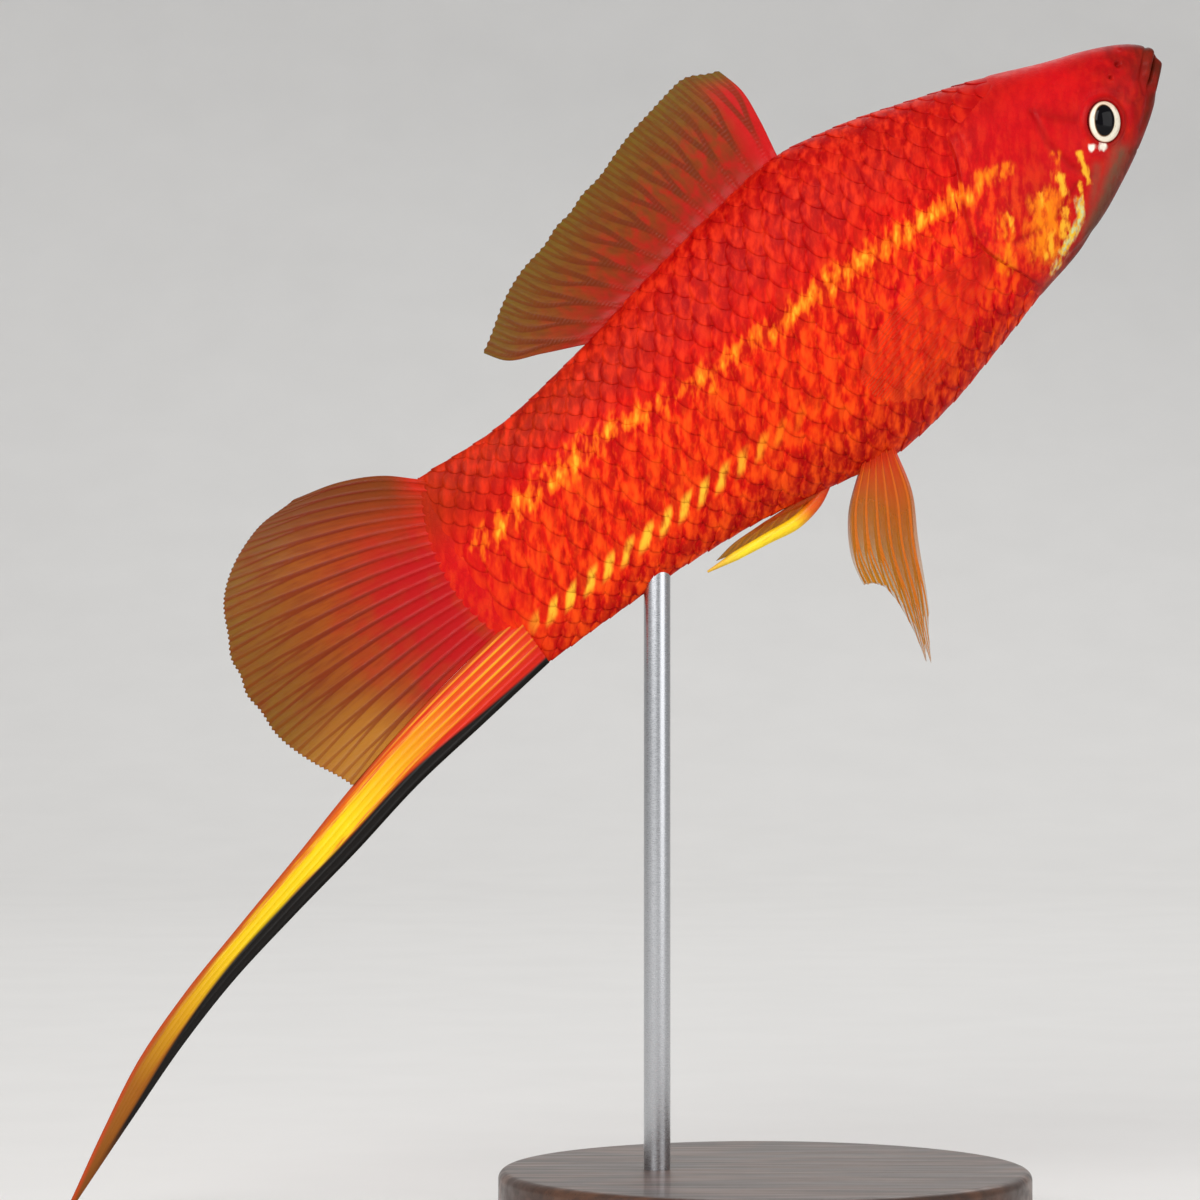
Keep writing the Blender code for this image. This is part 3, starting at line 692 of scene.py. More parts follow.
def flesh_ground(nodes):
    """Reds of skin and scales, the colour of their light streaks, and the noise of these."""
    behind, _, height, place = nodes.parts("fish")
    share = behind / 80.0
    colour = share.ramp([(0.0, SNOUT_RED), (0.045, (164, 0, 8)), (0.1, HEAD_RED), (0.22, HEAD_RED),
                         (0.3, (226, 14, 10)), (0.42, FLANK_RED), (0.86, FLANK_RED),
                         (1.0, (214, 34, 10))])
    on_body = behind.span(16.0, 24.0)
    crown = height.span(3.0, 7.0) * behind.span(8.0, 14.0)
    colour = colour.paint(NAPE_RED, crown * 0.6)
    upper = height.span(1.5, 7.5) * on_body
    colour = colour.paint(BACK_RED, upper * 0.85)
    ridge = behind.span(46.0, 66.0) * height.span(2.5, 6.5)
    colour = colour.paint(PEDUNCLE_BROWN, ridge * 0.9)
    lower = height.span(1.0, -3.0) * height.span(-10.5, -7.5) * on_body
    colour = colour.paint(FLANK_ORANGE, lower * 0.5)
    gill = behind.span(20.0, 24.0) * behind.span(42.0, 32.0) * height.span(0.0, -2.6)
    colour = colour.paint(GILL_CRIMSON, gill * 0.75)
    # Painted shade: darker red along the belly edge
    colour = colour.paint(BELLY_SHADE_RED, height.span(-8.6, -12.0) * on_body * 0.75)
    blotch = nodes.noise(place, 0.25, 3.0).span(0.45, 0.7)
    colour = colour.paint(FLANK_DARK_AND_SHADE, blotch * 0.3)
    at_tail = behind.span(69.0, 77.0) * height.span(-8.0, -5.5)
    tail_tint = height.span(0.0, 5.0).between(TAIL_CRIMSON, PEDUNCLE_BROWN)
    colour = colour.paint(tail_tint, at_tail * 0.85)
    streak = upright_noise(nodes, place, 1.45, 0.52)
    strong = behind.span(13.0, 24.0, 0.15, 1.0) * behind.span(78.0, 69.0, 0.3, 1.0)
    colour = colour.paint(FLANK_DARK_AND_SHADE, streak.span(0.56, 0.32) * strong * 0.62)
    light = height.span(4.0, -2.0).between(HIGH_STREAK, LOW_STREAK)
    colour = colour.paint(light, streak.span(0.44, 0.70) * strong * 0.85)
    fleck = upright_noise(nodes, place, 3.2, 1.5).span(0.48, 0.72) * strong
    return colour.paint(light, fleck * 0.35), light, streak


def flesh_marks(nodes, colour, streak):
    """Adds the gold line, the dashes below it and the marks of the head."""
    behind, _, _, place = nodes.parts("fish")
    gold, orange, pearl, _ = nodes.parts("bright")
    brown, throat, pale, _ = nodes.parts("dull")
    line, above, turn, _ = nodes.parts("lines")
    broken = line * 0.85 + (streak - 0.5) * 3.0
    on_line = line.span(0.04, 0.2)
    colour = colour.paint(LINE_ORANGE, broken.span(0.2, 0.95) * on_line)
    colour = colour.paint(GOLD, broken.span(0.72, 1.35) * on_line)
    gap = abs(turn.math("FRACT") - 0.5)
    above = abs(above)
    worn = gap + (streak - 0.5) * -0.5
    dash = (worn.span(0.36, 0.08) * above.span(1.15, 0.3) * behind.span(41.0, 50.0)
            * behind.span(77.0, 72.0) * streak.span(0.32, 0.48, 0.6, 1.0))
    dash_colour = behind.span(46.0, 56.0).between(LINE_ORANGE, (255, 190, 50))
    colour = colour.paint(dash_colour, dash)
    fine = upright_noise(nodes, place, 2.2, 0.9, 3.0)
    sway = (fine - 0.5) * 2.2

    def spotty(mark, low, high):
        share = (mark + sway).span(low, high)
        return share * mark.span(0.04, 0.3)

    colour = colour.paint(ORANGE, spotty(orange, 0.0, 1.1))
    colour = colour.paint(THROAT, throat * fine.span(0.2, 0.6, 0.6, 1.0))
    colour = colour.paint(BROWN, brown * fine.span(0.65, 0.3, 0.65, 1.0))
    colour = colour.paint(GOLD, spotty(gold, 0.15, 1.0))
    gloss = upright_noise(nodes, place, 3.4, 1.6).span(0.36, 0.62)
    colour = colour.paint(gloss.between(PEARL_YELLOW, PEARL), spotty(pearl, 0.05, 1.1))
    return colour.paint(PALE_SPOT, spotty(pale, 0.25, 0.95))


def skin_finish():
    nodes = Graph("skin")
    behind, _, _, place = nodes.parts("fish")
    ground, _, streak = flesh_ground(nodes)
    cells = nodes.node("TexVoronoi", place, None, 1.7, feature="DISTANCE_TO_EDGE").span(0.0, 0.12)
    on_head = behind.span(3.0, 7.0)
    ground = ground.paint(FLANK_DARK_AND_SHADE, (1.0 - cells) * on_head * 0.12)
    grain = upright_noise(nodes, place, 1.1, 0.9, 4.0).span(0.40, 0.66)
    ground = ground.paint((222, 26, 12), grain * behind.span(20.0, 14.0) * 0.28)
    murk = nodes.noise(place, 0.5, 4.0).span(0.46, 0.66)
    ground = ground.paint(SNOUT_RED, murk * behind.span(9.0, 3.0) * 0.45)
    # Painted shade: darker red in the head's creases, at the gill opening and round the eye socket
    fold_shade, opening, socket, _ = nodes.parts("crease_shade")
    ground = ground.paint(FLANK_DARK_AND_SHADE, fold_shade * 0.5)
    ground = ground.paint(FLANK_DARK_AND_SHADE, opening * 0.55)
    ground = ground.paint((118, 4, 4), socket * 0.55)
    colour = flesh_marks(nodes, ground, streak)
    relief = cells * on_head * 0.5 + nodes.noise(place, 6.0, 3.0)
    rough = nodes.noise(place, 1.3, 2.0).span(0.2, 0.8, 0.4, 0.58)
    return nodes.finish(colour, rough, Specular_IOR_Level=0.1,
                        Coat_Weight=0.02, Normal=relief.bump(0.3, 0.04))


def scale_finish():
    """Scales: a painted highlight near the upper rear rim, painted shade over the front half and
    rings of growth.
    """
    nodes = Graph("scales")
    place = nodes.parts("fish")[3]
    along, across, chance, _ = nodes.parts("plate")
    ground, light, streak = flesh_ground(nodes)
    reach = (along * along + across * across)**0.5
    slant = along - across * 0.6
    painted_rim_highlight = (slant.span(0.0, 0.4) * slant.span(0.85, 0.5) * reach.span(1.0, 0.85)
                * chance.span(0.0, 1.0, 0.2, 1.0))
    # Painted shade: the front half of each scale darker, as if under the rim of the scale ahead
    ground = ground.paint(FLANK_DARK_AND_SHADE, along.span(0.5, 0.0) * 0.25)
    # Painted highlight: the lighter streak colour on the upper rear rim, where light from above
    # would catch it
    ground = ground.paint(light, painted_rim_highlight * 0.25)
    colour = flesh_marks(nodes, ground, streak)
    relief = (reach * 46.0).math("SINE") * 0.25 + nodes.noise(place, 5.0, 3.0)
    rough = nodes.noise(place, 1.1, 2.0).span(0.2, 0.8, 0.44, 0.64)
    return nodes.finish(colour, rough, Specular_IOR_Level=0.07,
                        Coat_Weight=0.01, Normal=relief.bump(0.3, 0.02))


# Skin

SKIN_SEGMENTS = 256
SKIN_RINGS = np.concatenate((np.linspace(0.0, 1.0, 18)**2, np.arange(1.1, 24.0, 0.1),
                             np.arange(24.0, TAIL_ROOT, 0.46),
                             TAIL_ROOT + np.linspace(0.0, 1.0, 12) * TAIL_LOBE))


def eye_distance(s, h):
    """Distance from the eye's centre, as a share of its outline where it leaves the skin."""
    along = (s - EYE_BEHIND) * LEVEL + (h - EYE_HEIGHT) * CLIMB
    up = (h - EYE_HEIGHT) * LEVEL - (s - EYE_BEHIND) * CLIMB
    return np.hypot(along / EYE_RADII[0], up / EYE_RADII[2]) / SOCKET_SHARE


def mouth_relief(s, h):
    off = (h - MOUTH_TOP + MOUTH_SLOPE * s) / math.hypot(1.0, MOUTH_SLOPE)
    lips = 0.32 * hump(off - 0.44, 0.30) + 0.36 * hump(off + 0.46, 0.32)
    slit = 0.50 * hump(off, 0.12)
    folds = 0.12 * hump(off - 0.98, 0.14) + 0.10 * hump(off + 1.02, 0.14)
    return (lips - slit - folds) * rise(MOUTH_REACH + 0.5, MOUTH_REACH - 0.4, s)


def socket_relief(s, h):
    out = eye_distance(s, h)
    rim = 0.16 * hump(out - 1.13, 0.11) - 0.07 * hump(out - 1.42, 0.14)
    return rim - 1.3 * rise(1.03, 0.80, out)


def cover_relief(ring, h):
    """Gill cover: swells to the rear, ends in a step and leaves a gutter behind it."""
    on_cheek = rise(6.6, 4.6, h) * rise(-10.6, -8.8, h)
    plate = 0.26 * rise(12.5, 19.4, ring) * rise(19.95, 19.82, ring)
    margin = 0.03 * hump(ring - 18.8, 0.16)
    gutter = 0.12 * hump(ring - 20.2, 0.32) * rise(19.8, 19.95, ring)
    return on_cheek * (plate - margin - gutter)


def head_relief(ring, s, h):
    out = mouth_relief(s, h) + socket_relief(s, h) + cover_relief(ring, h)
    for behind, height, radius in NOSTRILS:
        gap = np.hypot(s - behind, h - height)
        out += 0.07 * hump(gap - 1.5 * radius, 0.12) - 0.42 * hump(gap, radius)
    for behind, height in HEAD_PORES:
        out -= 0.07 * hump(np.hypot(s - behind, h - height), 0.13)
    for points, width, depth in CREASES:
        out -= depth * near_line(s, h, points, width)
    return out


def crease_shade_notes(ring, s, h):
    """How deep a place lies in a crease of the head, at the gill opening and round the eye; the
    skin is darkened there as painted shade.
    """
    fold_shade = strongest(s, h, [(points, 1.5 * width, 1.0) for points, width, _ in CREASES])
    on_cheek = rise(6.6, 4.6, h) * rise(-10.6, -8.8, h)
    opening = hump(ring - 20.0, 0.35) * on_cheek
    socket = hump(eye_distance(s, h) - 1.10, 0.14)
    return bundle(fold_shade, opening, socket)


def skin_piece():
    """One skin from lips to tail root, sunk where scales lie over it."""
    half = SKIN_SEGMENTS // 2
    shares = np.linspace(0.0, 1.0, half + 1)
    ring = SKIN_RINGS[:, None]
    turn = angle_at_share(ring, shares)
    angle = np.concatenate((turn, 2 * math.pi - turn[:, -2:0:-1]), axis=1)
    height = section(ring, angle)[1]
    bow = rise(8.0, NAPE, ring) * rise(33.0, NAPE, ring)
    along = ring + bow * gill_shift(height)
    bare = surface(along, angle)
    s, h = bare[..., 0], bare[..., 2]
    under = SCALE_SUNK * rise(-0.3, 0.7, s - scale_start(h)) * rise(79.0, 76.0, along)
    relief = head_relief(ring, s, h) * rise(0.0, 0.3, s)
    points = lifted(along, angle, relief - under)
    chart = bundle(along_map(along), np.arange(SKIN_SEGMENTS) / SKIN_SEGMENTS)
    notes = flesh_notes(bare)
    notes["crease_shade"] = crease_shade_notes(ring, s, h)
    wall, front, rear = tube_faces(len(ring), SKIN_SEGMENTS)
    piece = mesh_piece("skin", world(points), [wall, front[:, ::-1], rear], skin_finish(), notes,
                       chart)
    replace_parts(piece, "head", "torso", "peduncle", "gill_cover_left", "gill_cover_right")
    return piece


# Scales

PLATE_ROWS = 11
PLATE_COLUMNS = 10


def scale_places(hand):
    """Centre of each scale as its distance along and its row; midlines go with the left."""
    first = -ROWS_UP if hand > 0 else 1 - ROWS_UP
    last = ROWS_DOWN if hand > 0 else ROWS_DOWN - 1
    found = []
    for row in range(first, last + 1):
        for step in range(4, 36):
            along = (step + 0.5 * (row % 2)) * SCALE_STEP
            angle = angle_at_row(np.array(along), np.array(float(row)))
            spot = surface(np.array(along), angle)
            if spot[0] < scale_start(spot[2]) - 0.3 or along > TAIL_ROOT + 1.6:
                continue
            if row == -ROWS_UP and DORSAL_ROOT[0] - 0.5 < along < DORSAL_ROOT[1] + 0.5:
                continue
            found.append((along, row))
    return np.array(found)


def scales_piece(name, hand):
    places = scale_places(hand)
    count = len(places)
    u, v = np.linspace(-1, 1, PLATE_ROWS)[:, None], np.linspace(-1, 1, PLATE_COLUMNS)
    a = u * np.sqrt(1 - v**2 / 2)
    b = v * np.sqrt(1 - u**2 / 2)
    chance = RANDOM.random((3, count, 1, 1))
    size = 0.97 + 0.07 * chance[0]
    mid_along, mid_row = places[:, 0, None, None], places[:, 1, None, None]
    along = mid_along + a * SCALE_REACH * size
    row = mid_row + b * SCALE_OVERLAP * size
    angle = angle_at_row(along, row)
    slope = (a + 1) / 2
    lift = -SCALE_SUNK + (SCALE_SUNK + SCALE_LIFT) * slope - 0.04 * b**2
    lift = lift + 0.05 * (chance[1] - 0.5) * slope + 0.04 * (chance[2] - 0.5) * b * slope
    lift = lift - 0.12 * rise(74.5, 79.0, along)
    height = surface(along, angle)[..., 2]
    lift = lift - 0.05 * rise(7.0, 0.0, along - scale_start(height))
    top = lifted(along, angle, lift)
    rim = grid_rim(PLATE_ROWS, PLATE_COLUMNS)
    under = lifted(along, angle, lift - SCALE_THICK).reshape(count, -1, 3)[:, rim]
    points = np.concatenate((top.reshape(count, -1, 3), under), axis=1)
    many = PLATE_ROWS * PLATE_COLUMNS
    turn = np.arange(len(rim))
    after = np.roll(turn, -1)
    band = bundle(rim[after], rim, many + turn, many + after)
    quads = np.concatenate((grid_faces(PLATE_ROWS, PLATE_COLUMNS), band))
    size_of_one = many + len(rim)
    shift = (np.arange(count) * size_of_one)[:, None, None]
    quads = (quads[None] + shift).reshape(-1, 4)
    floor = ((many + turn[::-1])[None, None] + shift).reshape(count, -1)
    every = np.concatenate((np.arange(many), rim))
    local_a, local_b = a.ravel()[every], b.ravel()[every]
    plate = bundle(local_a, local_b, chance[1][:, :, 0])
    share = share_at_row(places[:, 0], places[:, 1].astype(float)) / 2
    root_v = share if hand > 0 else 1 - share
    root_u = along_map(places[:, 0] - SCALE_REACH)
    chart = np.clip(bundle(root_u[:, None] + PATCH / 2 * local_a,
                           root_v[:, None] + PATCH / 2 * local_b), 0, 1)
    notes = flesh_notes(points)
    notes["plate"] = plate
    points = points * (1.0, hand, 1.0)
    faces = [quads, floor] if hand > 0 else [quads[:, ::-1], floor[:, ::-1]]
    piece = mesh_piece(name, world(points), faces, scale_finish(), notes, chart)
    return piece


# Fins

def fin_shape(root, lead, trail, edge, u, v):
    """Places (behind, height) of a fin spanned between its four border curves."""
    outer = [lead[-1]] + edge + [trail[-1]]
    low, high = curve_through(root, u), curve_through(outer, u)
    front = curve_through([root[0]] + lead, v)
    rear = curve_through([root[-1]] + trail, v)
    u, v = u[..., None], v[..., None]
    corners = ((1 - v) * ((1 - u) * np.array(root[0]) + u * np.array(root[-1]))
               + v * ((1 - u) * np.array(outer[0]) + u * np.array(outer[-1])))
    return (1 - v) * low + v * high + (1 - u) * front + u * rear - corners


def unit_grid(rows, columns):
    """Shares across and down, from 0 to 1, of the points of a grid."""
    return np.meshgrid(np.linspace(0, 1, columns), np.linspace(0, 1, rows))


def ray_pattern(u, v, rays, fork=0.25):
    """1 on a ray and 0 between; past the fork each ray is two and then four."""
    room = u * rays
    gap = np.abs(room - np.clip(np.floor(room), 0, rays - 1) - 0.5)
    gap = np.abs(gap - 0.25 * rise(fork, fork + 0.45, v))
    gap = np.abs(gap - 0.125 * rise(fork + 0.25, fork + 0.75, v))
    return hump(gap, 0.16 - 0.085 * rise(fork, 1.0, v))


def ragged(u, rays, depth):
    """How far each place of a fin's edge reaches, notched between the tips of its rays."""
    notch = 1 - ray_pattern(u, np.ones_like(u), rays)
    sway = 0.5 + 0.5 * np.sin(u * 37.0 + 2.0 * np.sin(u * 11.0))
    return 1.0 - depth * (0.45 * notch + 0.55 * sway)


def fin_piece(name, borders, rays, size, finish, place, web=(0.20, 0.07), ridge=0.15, rag=0.03,
              fork=0.25, length=np.ones_like):
    """Closed fin of a grid of rows by columns; place sets a point out from its sheet."""
    rows, columns = size
    u, v = unit_grid(rows, columns)
    reach = v * length(u) * (1 + (ragged(u, rays, rag) - 1) * v**2)
    flat = fin_shape(*borders, u, reach)
    inward = flat[0] - flat[2]
    inward /= np.linalg.norm(inward, axis=-1, keepdims=True)
    flat = np.concatenate(((flat[0] + 1.1 * inward)[None], flat))
    u = np.concatenate((u[:1], u))
    v = np.concatenate((v[:1], v))
    ray = ray_pattern(u, v, rays, fork)
    joints = 0.75 + 0.25 * np.cos(v * 2 * math.pi * RAY_JOINTS)
    half = 0.5 * (web[0] + (web[1] - web[0]) * v) + ridge * ray * (1 - 0.7 * v) * joints
    half = half + 0.28 * np.exp(-v / 0.05)
    s, h = flat[..., 0], flat[..., 1]
    near, far = place(s, h, u, v, -half), place(s, h, u, v, half)
    return sheet_piece(name, near, far, finish, {"fin": bundle(u, v, ray)})


def upright(sway, turns):
    """Fin in the fish's middle plane, waved a little more towards its edge."""
    def place(s, h, u, v, out):
        wave = sway * v**2 * np.sin(2 * math.pi * (turns * u + 0.15 * v))
        return bundle(s, wave + out, h)
    return place


def fin_finish(name, base, margin, ray_colour, web_alpha, marks=None, ray_alpha=0.97,
               rays_from=(0.0, 0.1)):
    """Fin colours from root to edge, its rays, flecks between them and see-through web."""
    nodes = Graph(name)
    across, down, ray, place = nodes.parts("fin")
    fish = nodes.parts("fish")[3]
    colour = down.ramp(base)
    cloud = nodes.noise(fish, 0.35, 3.0)
    colour = colour.paint(margin, cloud.span(0.45, 0.75, 0.0, 0.45))
    streak = nodes.noise(place, 1.0, 3.0, (70.0, 7.0, 1.0))
    colour = colour.paint(ray_colour, streak.span(0.4, 0.7, 0.0, 0.35))
    if marks:
        colour = marks(nodes, colour, across, down, fish)
    on_ray = ray.span(0.3, 0.85)
    fade = down.span(0.55, 1.0, 0.75, 0.45) * down.span(*rays_from)
    colour = colour.paint(ray_colour, on_ray * fade)
    solid = down.span(0.1, 1.0, *web_alpha)
    alpha = solid.math("MAXIMUM", on_ray * ray_alpha)
    fine = nodes.noise(fish, 4.0, 3.0)
    rough = cloud.span(0.3, 0.7, 0.4, 0.55)
    return nodes.finish(colour, rough, Alpha=alpha, Specular_IOR_Level=0.15,
                        Coat_Weight=0.03, Normal=fine.bump(0.3, 0.03))


def dorsal_marks(nodes, colour, across, down, fish):
    lead = across.span(0.13, 0.05) * down.span(0.98, 0.7)
    colour = colour.paint((200, 6, 14), lead * 0.9)
    fleck = nodes.noise(fish, 1.0, 4.0, (1.0, 1.0, 0.7))
    fleck = fleck.span(0.36, 0.74) * down.span(0.9, 0.4) * across.span(1.0, 0.4, 0.4, 1.0)
    return colour.paint((184, 8, 4), fleck * 0.85)


def tail_marks(nodes, colour, across, down, fish):
    cloud = (nodes.noise(fish, 0.45, 3.0) - 0.5) * 0.5
    deep = down + cloud
    heart = deep.span(0.66, 0.25) * deep.span(0.06, 0.2) * (across + cloud).span(0.2, 0.55)
    colour = colour.paint((180, 0, 8), heart * 0.95)
    root = down.span(0.14, 0.09) * down.span(0.02, 0.05) * across.span(0.3, 0.45)
    colour = colour.paint((206, 4, 14), root * 0.9)
    upper = across.span(0.36, 0.06) * down.span(0.0, 0.3)
    colour = colour.paint((112, 52, 0), upper * 0.85)
    corner = across.span(0.72, 0.95) * down.span(0.5, 0.8)
    return colour.paint((190, 124, 30), corner * 0.7)


def dorsal_piece():
    behind = np.linspace(*DORSAL_ROOT, 7)
    root = [(s, body_outline(s)[0]) for s in behind]
    finish = fin_finish(
        "fin_dorsal",
        [(0.0, (176, 16, 4)), (0.15, (146, 32, 2)), (0.45, (132, 56, 0)),
         (0.75, (120, 74, 0)), (1.0, (112, 86, 2))],
        (116, 58, 0), (104, 36, 0), (0.98, 0.86), dorsal_marks,
        rays_from=(0.05, 0.4))
    borders = (root, DORSAL_LEAD, DORSAL_TRAIL, DORSAL_EDGE)
    piece = fin_piece("dorsal_fin_web", borders, DORSAL_RAYS, DORSAL_GRID, finish,
                      upright(0.5, 1.1))
    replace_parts(piece, "dorsal_fin")


def sword_line(points, behind):
    line = np.array(points)
    return smooth(line[:, 0], line[:, 1], behind)


def tail_piece():
    start = TAIL_ROOT + 0.2
    top = body_outline(TAIL_ROOT)[0] - 0.1
    bottom = sword_line(SWORD_TOP, start) - 0.1
    root = [(start, top + (bottom - top) * share) for share in np.linspace(0, 1, 5)]
    trail = []
    for share in np.linspace(0.25, 1.0, 4):
        behind = start + share * (TAIL_REACH - start)
        trail.append((behind, float(sword_line(SWORD_TOP, behind))))
    finish = fin_finish(
        "fin_tail",
        [(0.0, (210, 26, 2)), (0.08, (200, 28, 2)), (0.2, (172, 36, 0)),
         (0.42, (164, 56, 0)), (0.62, (154, 70, 0)), (0.82, (136, 78, 0)),
         (1.0, (126, 84, 2))],
        (142, 56, 0), (112, 24, 0), (0.98, 0.86), tail_marks, rays_from=(0.12, 0.5))
    borders = (root, TAIL_LEAD, trail, TAIL_EDGE)
    piece = fin_piece("tail_fin_web", borders, TAIL_RAYS, TAIL_GRID, finish, upright(0.55, 1.4),
                      rag=0.02, fork=0.55)
    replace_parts(piece, "tail_fin")


def sword_finish():
    """Sword: orange root with yellow lines, yellow heart, black lower margin, brown tip."""
    nodes = Graph("fin_sword")
    above, below, down, place = nodes.parts("band")
    across, ray, _, _ = nodes.parts("fin")
    fish = nodes.parts("fish")[3]
    heart = down.ramp([(0.0, (214, 42, 2)), (0.14, (222, 76, 2)), (0.26, (236, 168, 0)),
                       (0.36, (240, 204, 0)), (0.58, (232, 190, 0)), (0.70, (204, 146, 2)),
                       (0.82, (152, 88, 6)), (1.0, (112, 58, 8))])
    flank = down.ramp([(0.0, (204, 24, 2)), (0.2, (210, 40, 2)), (0.34, (216, 92, 2)),
                       (0.55, (206, 120, 0)), (0.8, (150, 84, 4)), (1.0, (112, 58, 8))])
    line = nodes.noise(place, 1.0, 3.0, (4.5, 4.5, 14.0))
    off_heart = abs(across - 0.40) + (line - 0.5) * 0.35
    colour = heart.paint(flank, off_heart.span(0.14, 0.30))
    root_lines = (ray.span(0.3, 0.9) * down.span(0.34, 0.18) * across.span(0.74, 0.56)
                  * down.span(0.0, 0.06, 0.4, 1.0) * line.span(0.3, 0.55, 0.4, 1.0))
    colour = colour.paint((246, 160, 12), root_lines)
    colour = colour.paint((176, 58, 2), above.span(0.5, 0.15) * 0.85)
    width = down.span(0.0, 0.3, 0.55, 1.35) * down.span(0.5, 1.0, 1.0, 0.15)
    black = (below - width).span(0.2, -0.14) * down.span(0.98, 0.86)
    colour = colour.paint((12, 7, 4), black)
    fine = nodes.noise(fish, 4.0, 3.0)
    rough = fine.span(0.3, 0.7, 0.36, 0.5)
    return nodes.finish(colour, rough, Specular_IOR_Level=0.2,
                        Coat_Weight=0.05, Normal=fine.bump(0.3, 0.03))


def sword_piece():
    """Sword as one lens-shaped blade with fine rays along it."""
    u, v = unit_grid(*SWORD_GRID)
    top, low = curve_through(SWORD_TOP, v), curve_through(SWORD_BELLY, v)
    flat = top + (low - top) * u[..., None]
    deep = np.linalg.norm(low - top, axis=-1)
    ray = hump(np.mod(u * SWORD_RAYS, 1) - 0.5, 0.2)
    thick = SWORD_THICKNESS[0] + (SWORD_THICKNESS[1] - SWORD_THICKNESS[0]) * v
    lens = 0.30 + 0.70 * np.sqrt(np.clip(1 - (2 * u - 1)**2, 0, 1))
    half = thick / 2 * lens * rise(1.02, 0.9, v)**0.5 + 0.10 * ray * (1 - v)
    half = half + 0.35 * np.exp(-v / 0.02)
    sway = 0.5 * np.sin(v * math.pi * 1.2) * v
    near = bundle(flat[..., 0], sway - half, flat[..., 1])
    far = bundle(flat[..., 0], sway + half, flat[..., 1])
    notes = {"band": bundle(u * deep, (1 - u) * deep, v), "fin": bundle(u, ray, lens)}
    piece = sheet_piece("sword_blade", near, far, sword_finish(), notes)
    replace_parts(piece, "sword_base", "sword_tip")


def belly_height(behind, side):
    _, centre, belly, half_width, _ = body_levels(behind)
    share = np.minimum(np.abs(side) / half_width, 1.0)
    return centre - (centre - belly) * (1.0 - share**BELLY_ROUNDNESS)**(1 / BELLY_ROUNDNESS)


def pelvic_length(u):
    """How far the rays reach: the second one to the tip, those behind it ever less."""
    return 0.56 + 0.44 * hump(np.maximum(u - 0.25, 0.0), 0.28) - 0.22 * hump(u, 0.12)


def pelvic_piece(name, hand, finish):
    behind = np.linspace(*PELVIC_ROOT, 3)
    root = [(s, float(belly_height(s, PELVIC_SIDE)) + 0.1) for s in behind]

    def splayed(s, h, u, v, out):
        wave = 0.25 * v * np.sin(5.0 * u)
        return bundle(s, hand * (PELVIC_SIDE + PELVIC_SPLAY * v + wave + out), h)

    borders = (root, PELVIC_LEAD, PELVIC_TRAIL, [])
    piece = fin_piece(name, borders, PELVIC_RAYS, PELVIC_GRID, finish, splayed, web=(0.16, 0.05),
                      rag=0.02, fork=0.5, length=pelvic_length)
    return piece


def flank_point(behind, height, hand, lift):
    """Point at a lift off the flank at a height."""
    back, centre, belly, _, crown = body_levels(behind)
    power = np.where(height > centre, crown, BELLY_ROUNDNESS)
    share = (height - centre) / np.where(height > centre, back - centre, centre - belly)
    up = np.sign(share) * np.abs(np.clip(share, -1, 1))**(power / 2)
    return lifted(np.asarray(behind, dtype=float), np.arccos(up), lift) * (1.0, hand, 1.0)


def pectoral_piece(name, hand, finish):
    def laid_back(s, h, _, v, out):
        return flank_point(s, h, hand, 0.42 + 1.15 * v + out)

    borders = (PECTORAL_ROOT, PECTORAL_LEAD, PECTORAL_TRAIL, PECTORAL_EDGE)
    piece = fin_piece(name, borders, PECTORAL_RAYS, PECTORAL_GRID, finish, laid_back,
                      web=(0.14, 0.06), ridge=0.10)
    return piece


def tube_points(path, radii, rings, segments):
    """Rings of points round a smooth path in the fish's middle plane."""
    shares = np.linspace(0, 1, rings)
    line = curve_through(path, shares)
    radius = np.interp(shares, np.linspace(0, 1, len(radii)), radii)[:, None]
    ahead = np.gradient(line, axis=0)
    ahead /= np.linalg.norm(ahead, axis=1, keepdims=True)
    angle = np.linspace(0, 2 * math.pi, segments, endpoint=False)[None]
    s = line[:, :1] - ahead[:, 1:] * np.cos(angle) * radius
    h = line[:, 1:] + ahead[:, :1] * np.cos(angle) * radius
    return bundle(s, np.sin(angle) * radius, h)


def gonopodium_finish():
    nodes = Graph("fin_gonopodium")
    behind, _, _, place = nodes.parts("fish")
    down = behind.span(45.6, 59.7)
    colour = down.ramp([(0.0, (214, 44, 10)), (0.14, (226, 96, 14)), (0.3, (250, 206, 24)),
                        (0.85, (255, 224, 40)), (1.0, (222, 176, 60))])
    line = nodes.noise(place, 1.0, 3.0, (0.6, 6.0, 6.0))
    colour = colour.paint((190, 120, 10), line.span(0.5, 0.75, 0.0, 0.45))
    relief = (behind * 16.0).math("SINE") * 0.4 + line
    return nodes.finish(colour, line.span(0.2, 0.8, 0.34, 0.48),
                        Specular_IOR_Level=0.25, Coat_Weight=0.05, Normal=relief.bump(0.4, 0.05))


def gonopodium_pieces():
    """Folded anal fin: a jointed rod under a narrow web."""
    points = tube_points(GONOPODIUM_PATH, GONOPODIUM_RADII, 120, 24)
    rod = tube_piece("gonopodium_rod", world(points), gonopodium_finish(), {"fish": points})
    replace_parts(rod, "gonopodium")
    finish = fin_finish(
        "fin_gonopodium_web",
        [(0.0, (176, 52, 8)), (0.5, (140, 84, 10)), (1.0, (120, 92, 14))],
        (132, 72, 6), (170, 104, 10), (0.97, 0.85))
    web = fin_piece("gonopodium_web", GONOPODIUM_WEB, GONOPODIUM_RAYS, GONOPODIUM_GRID, finish,
                    upright(0.0, 1.0), ridge=0.08)


# Eyes

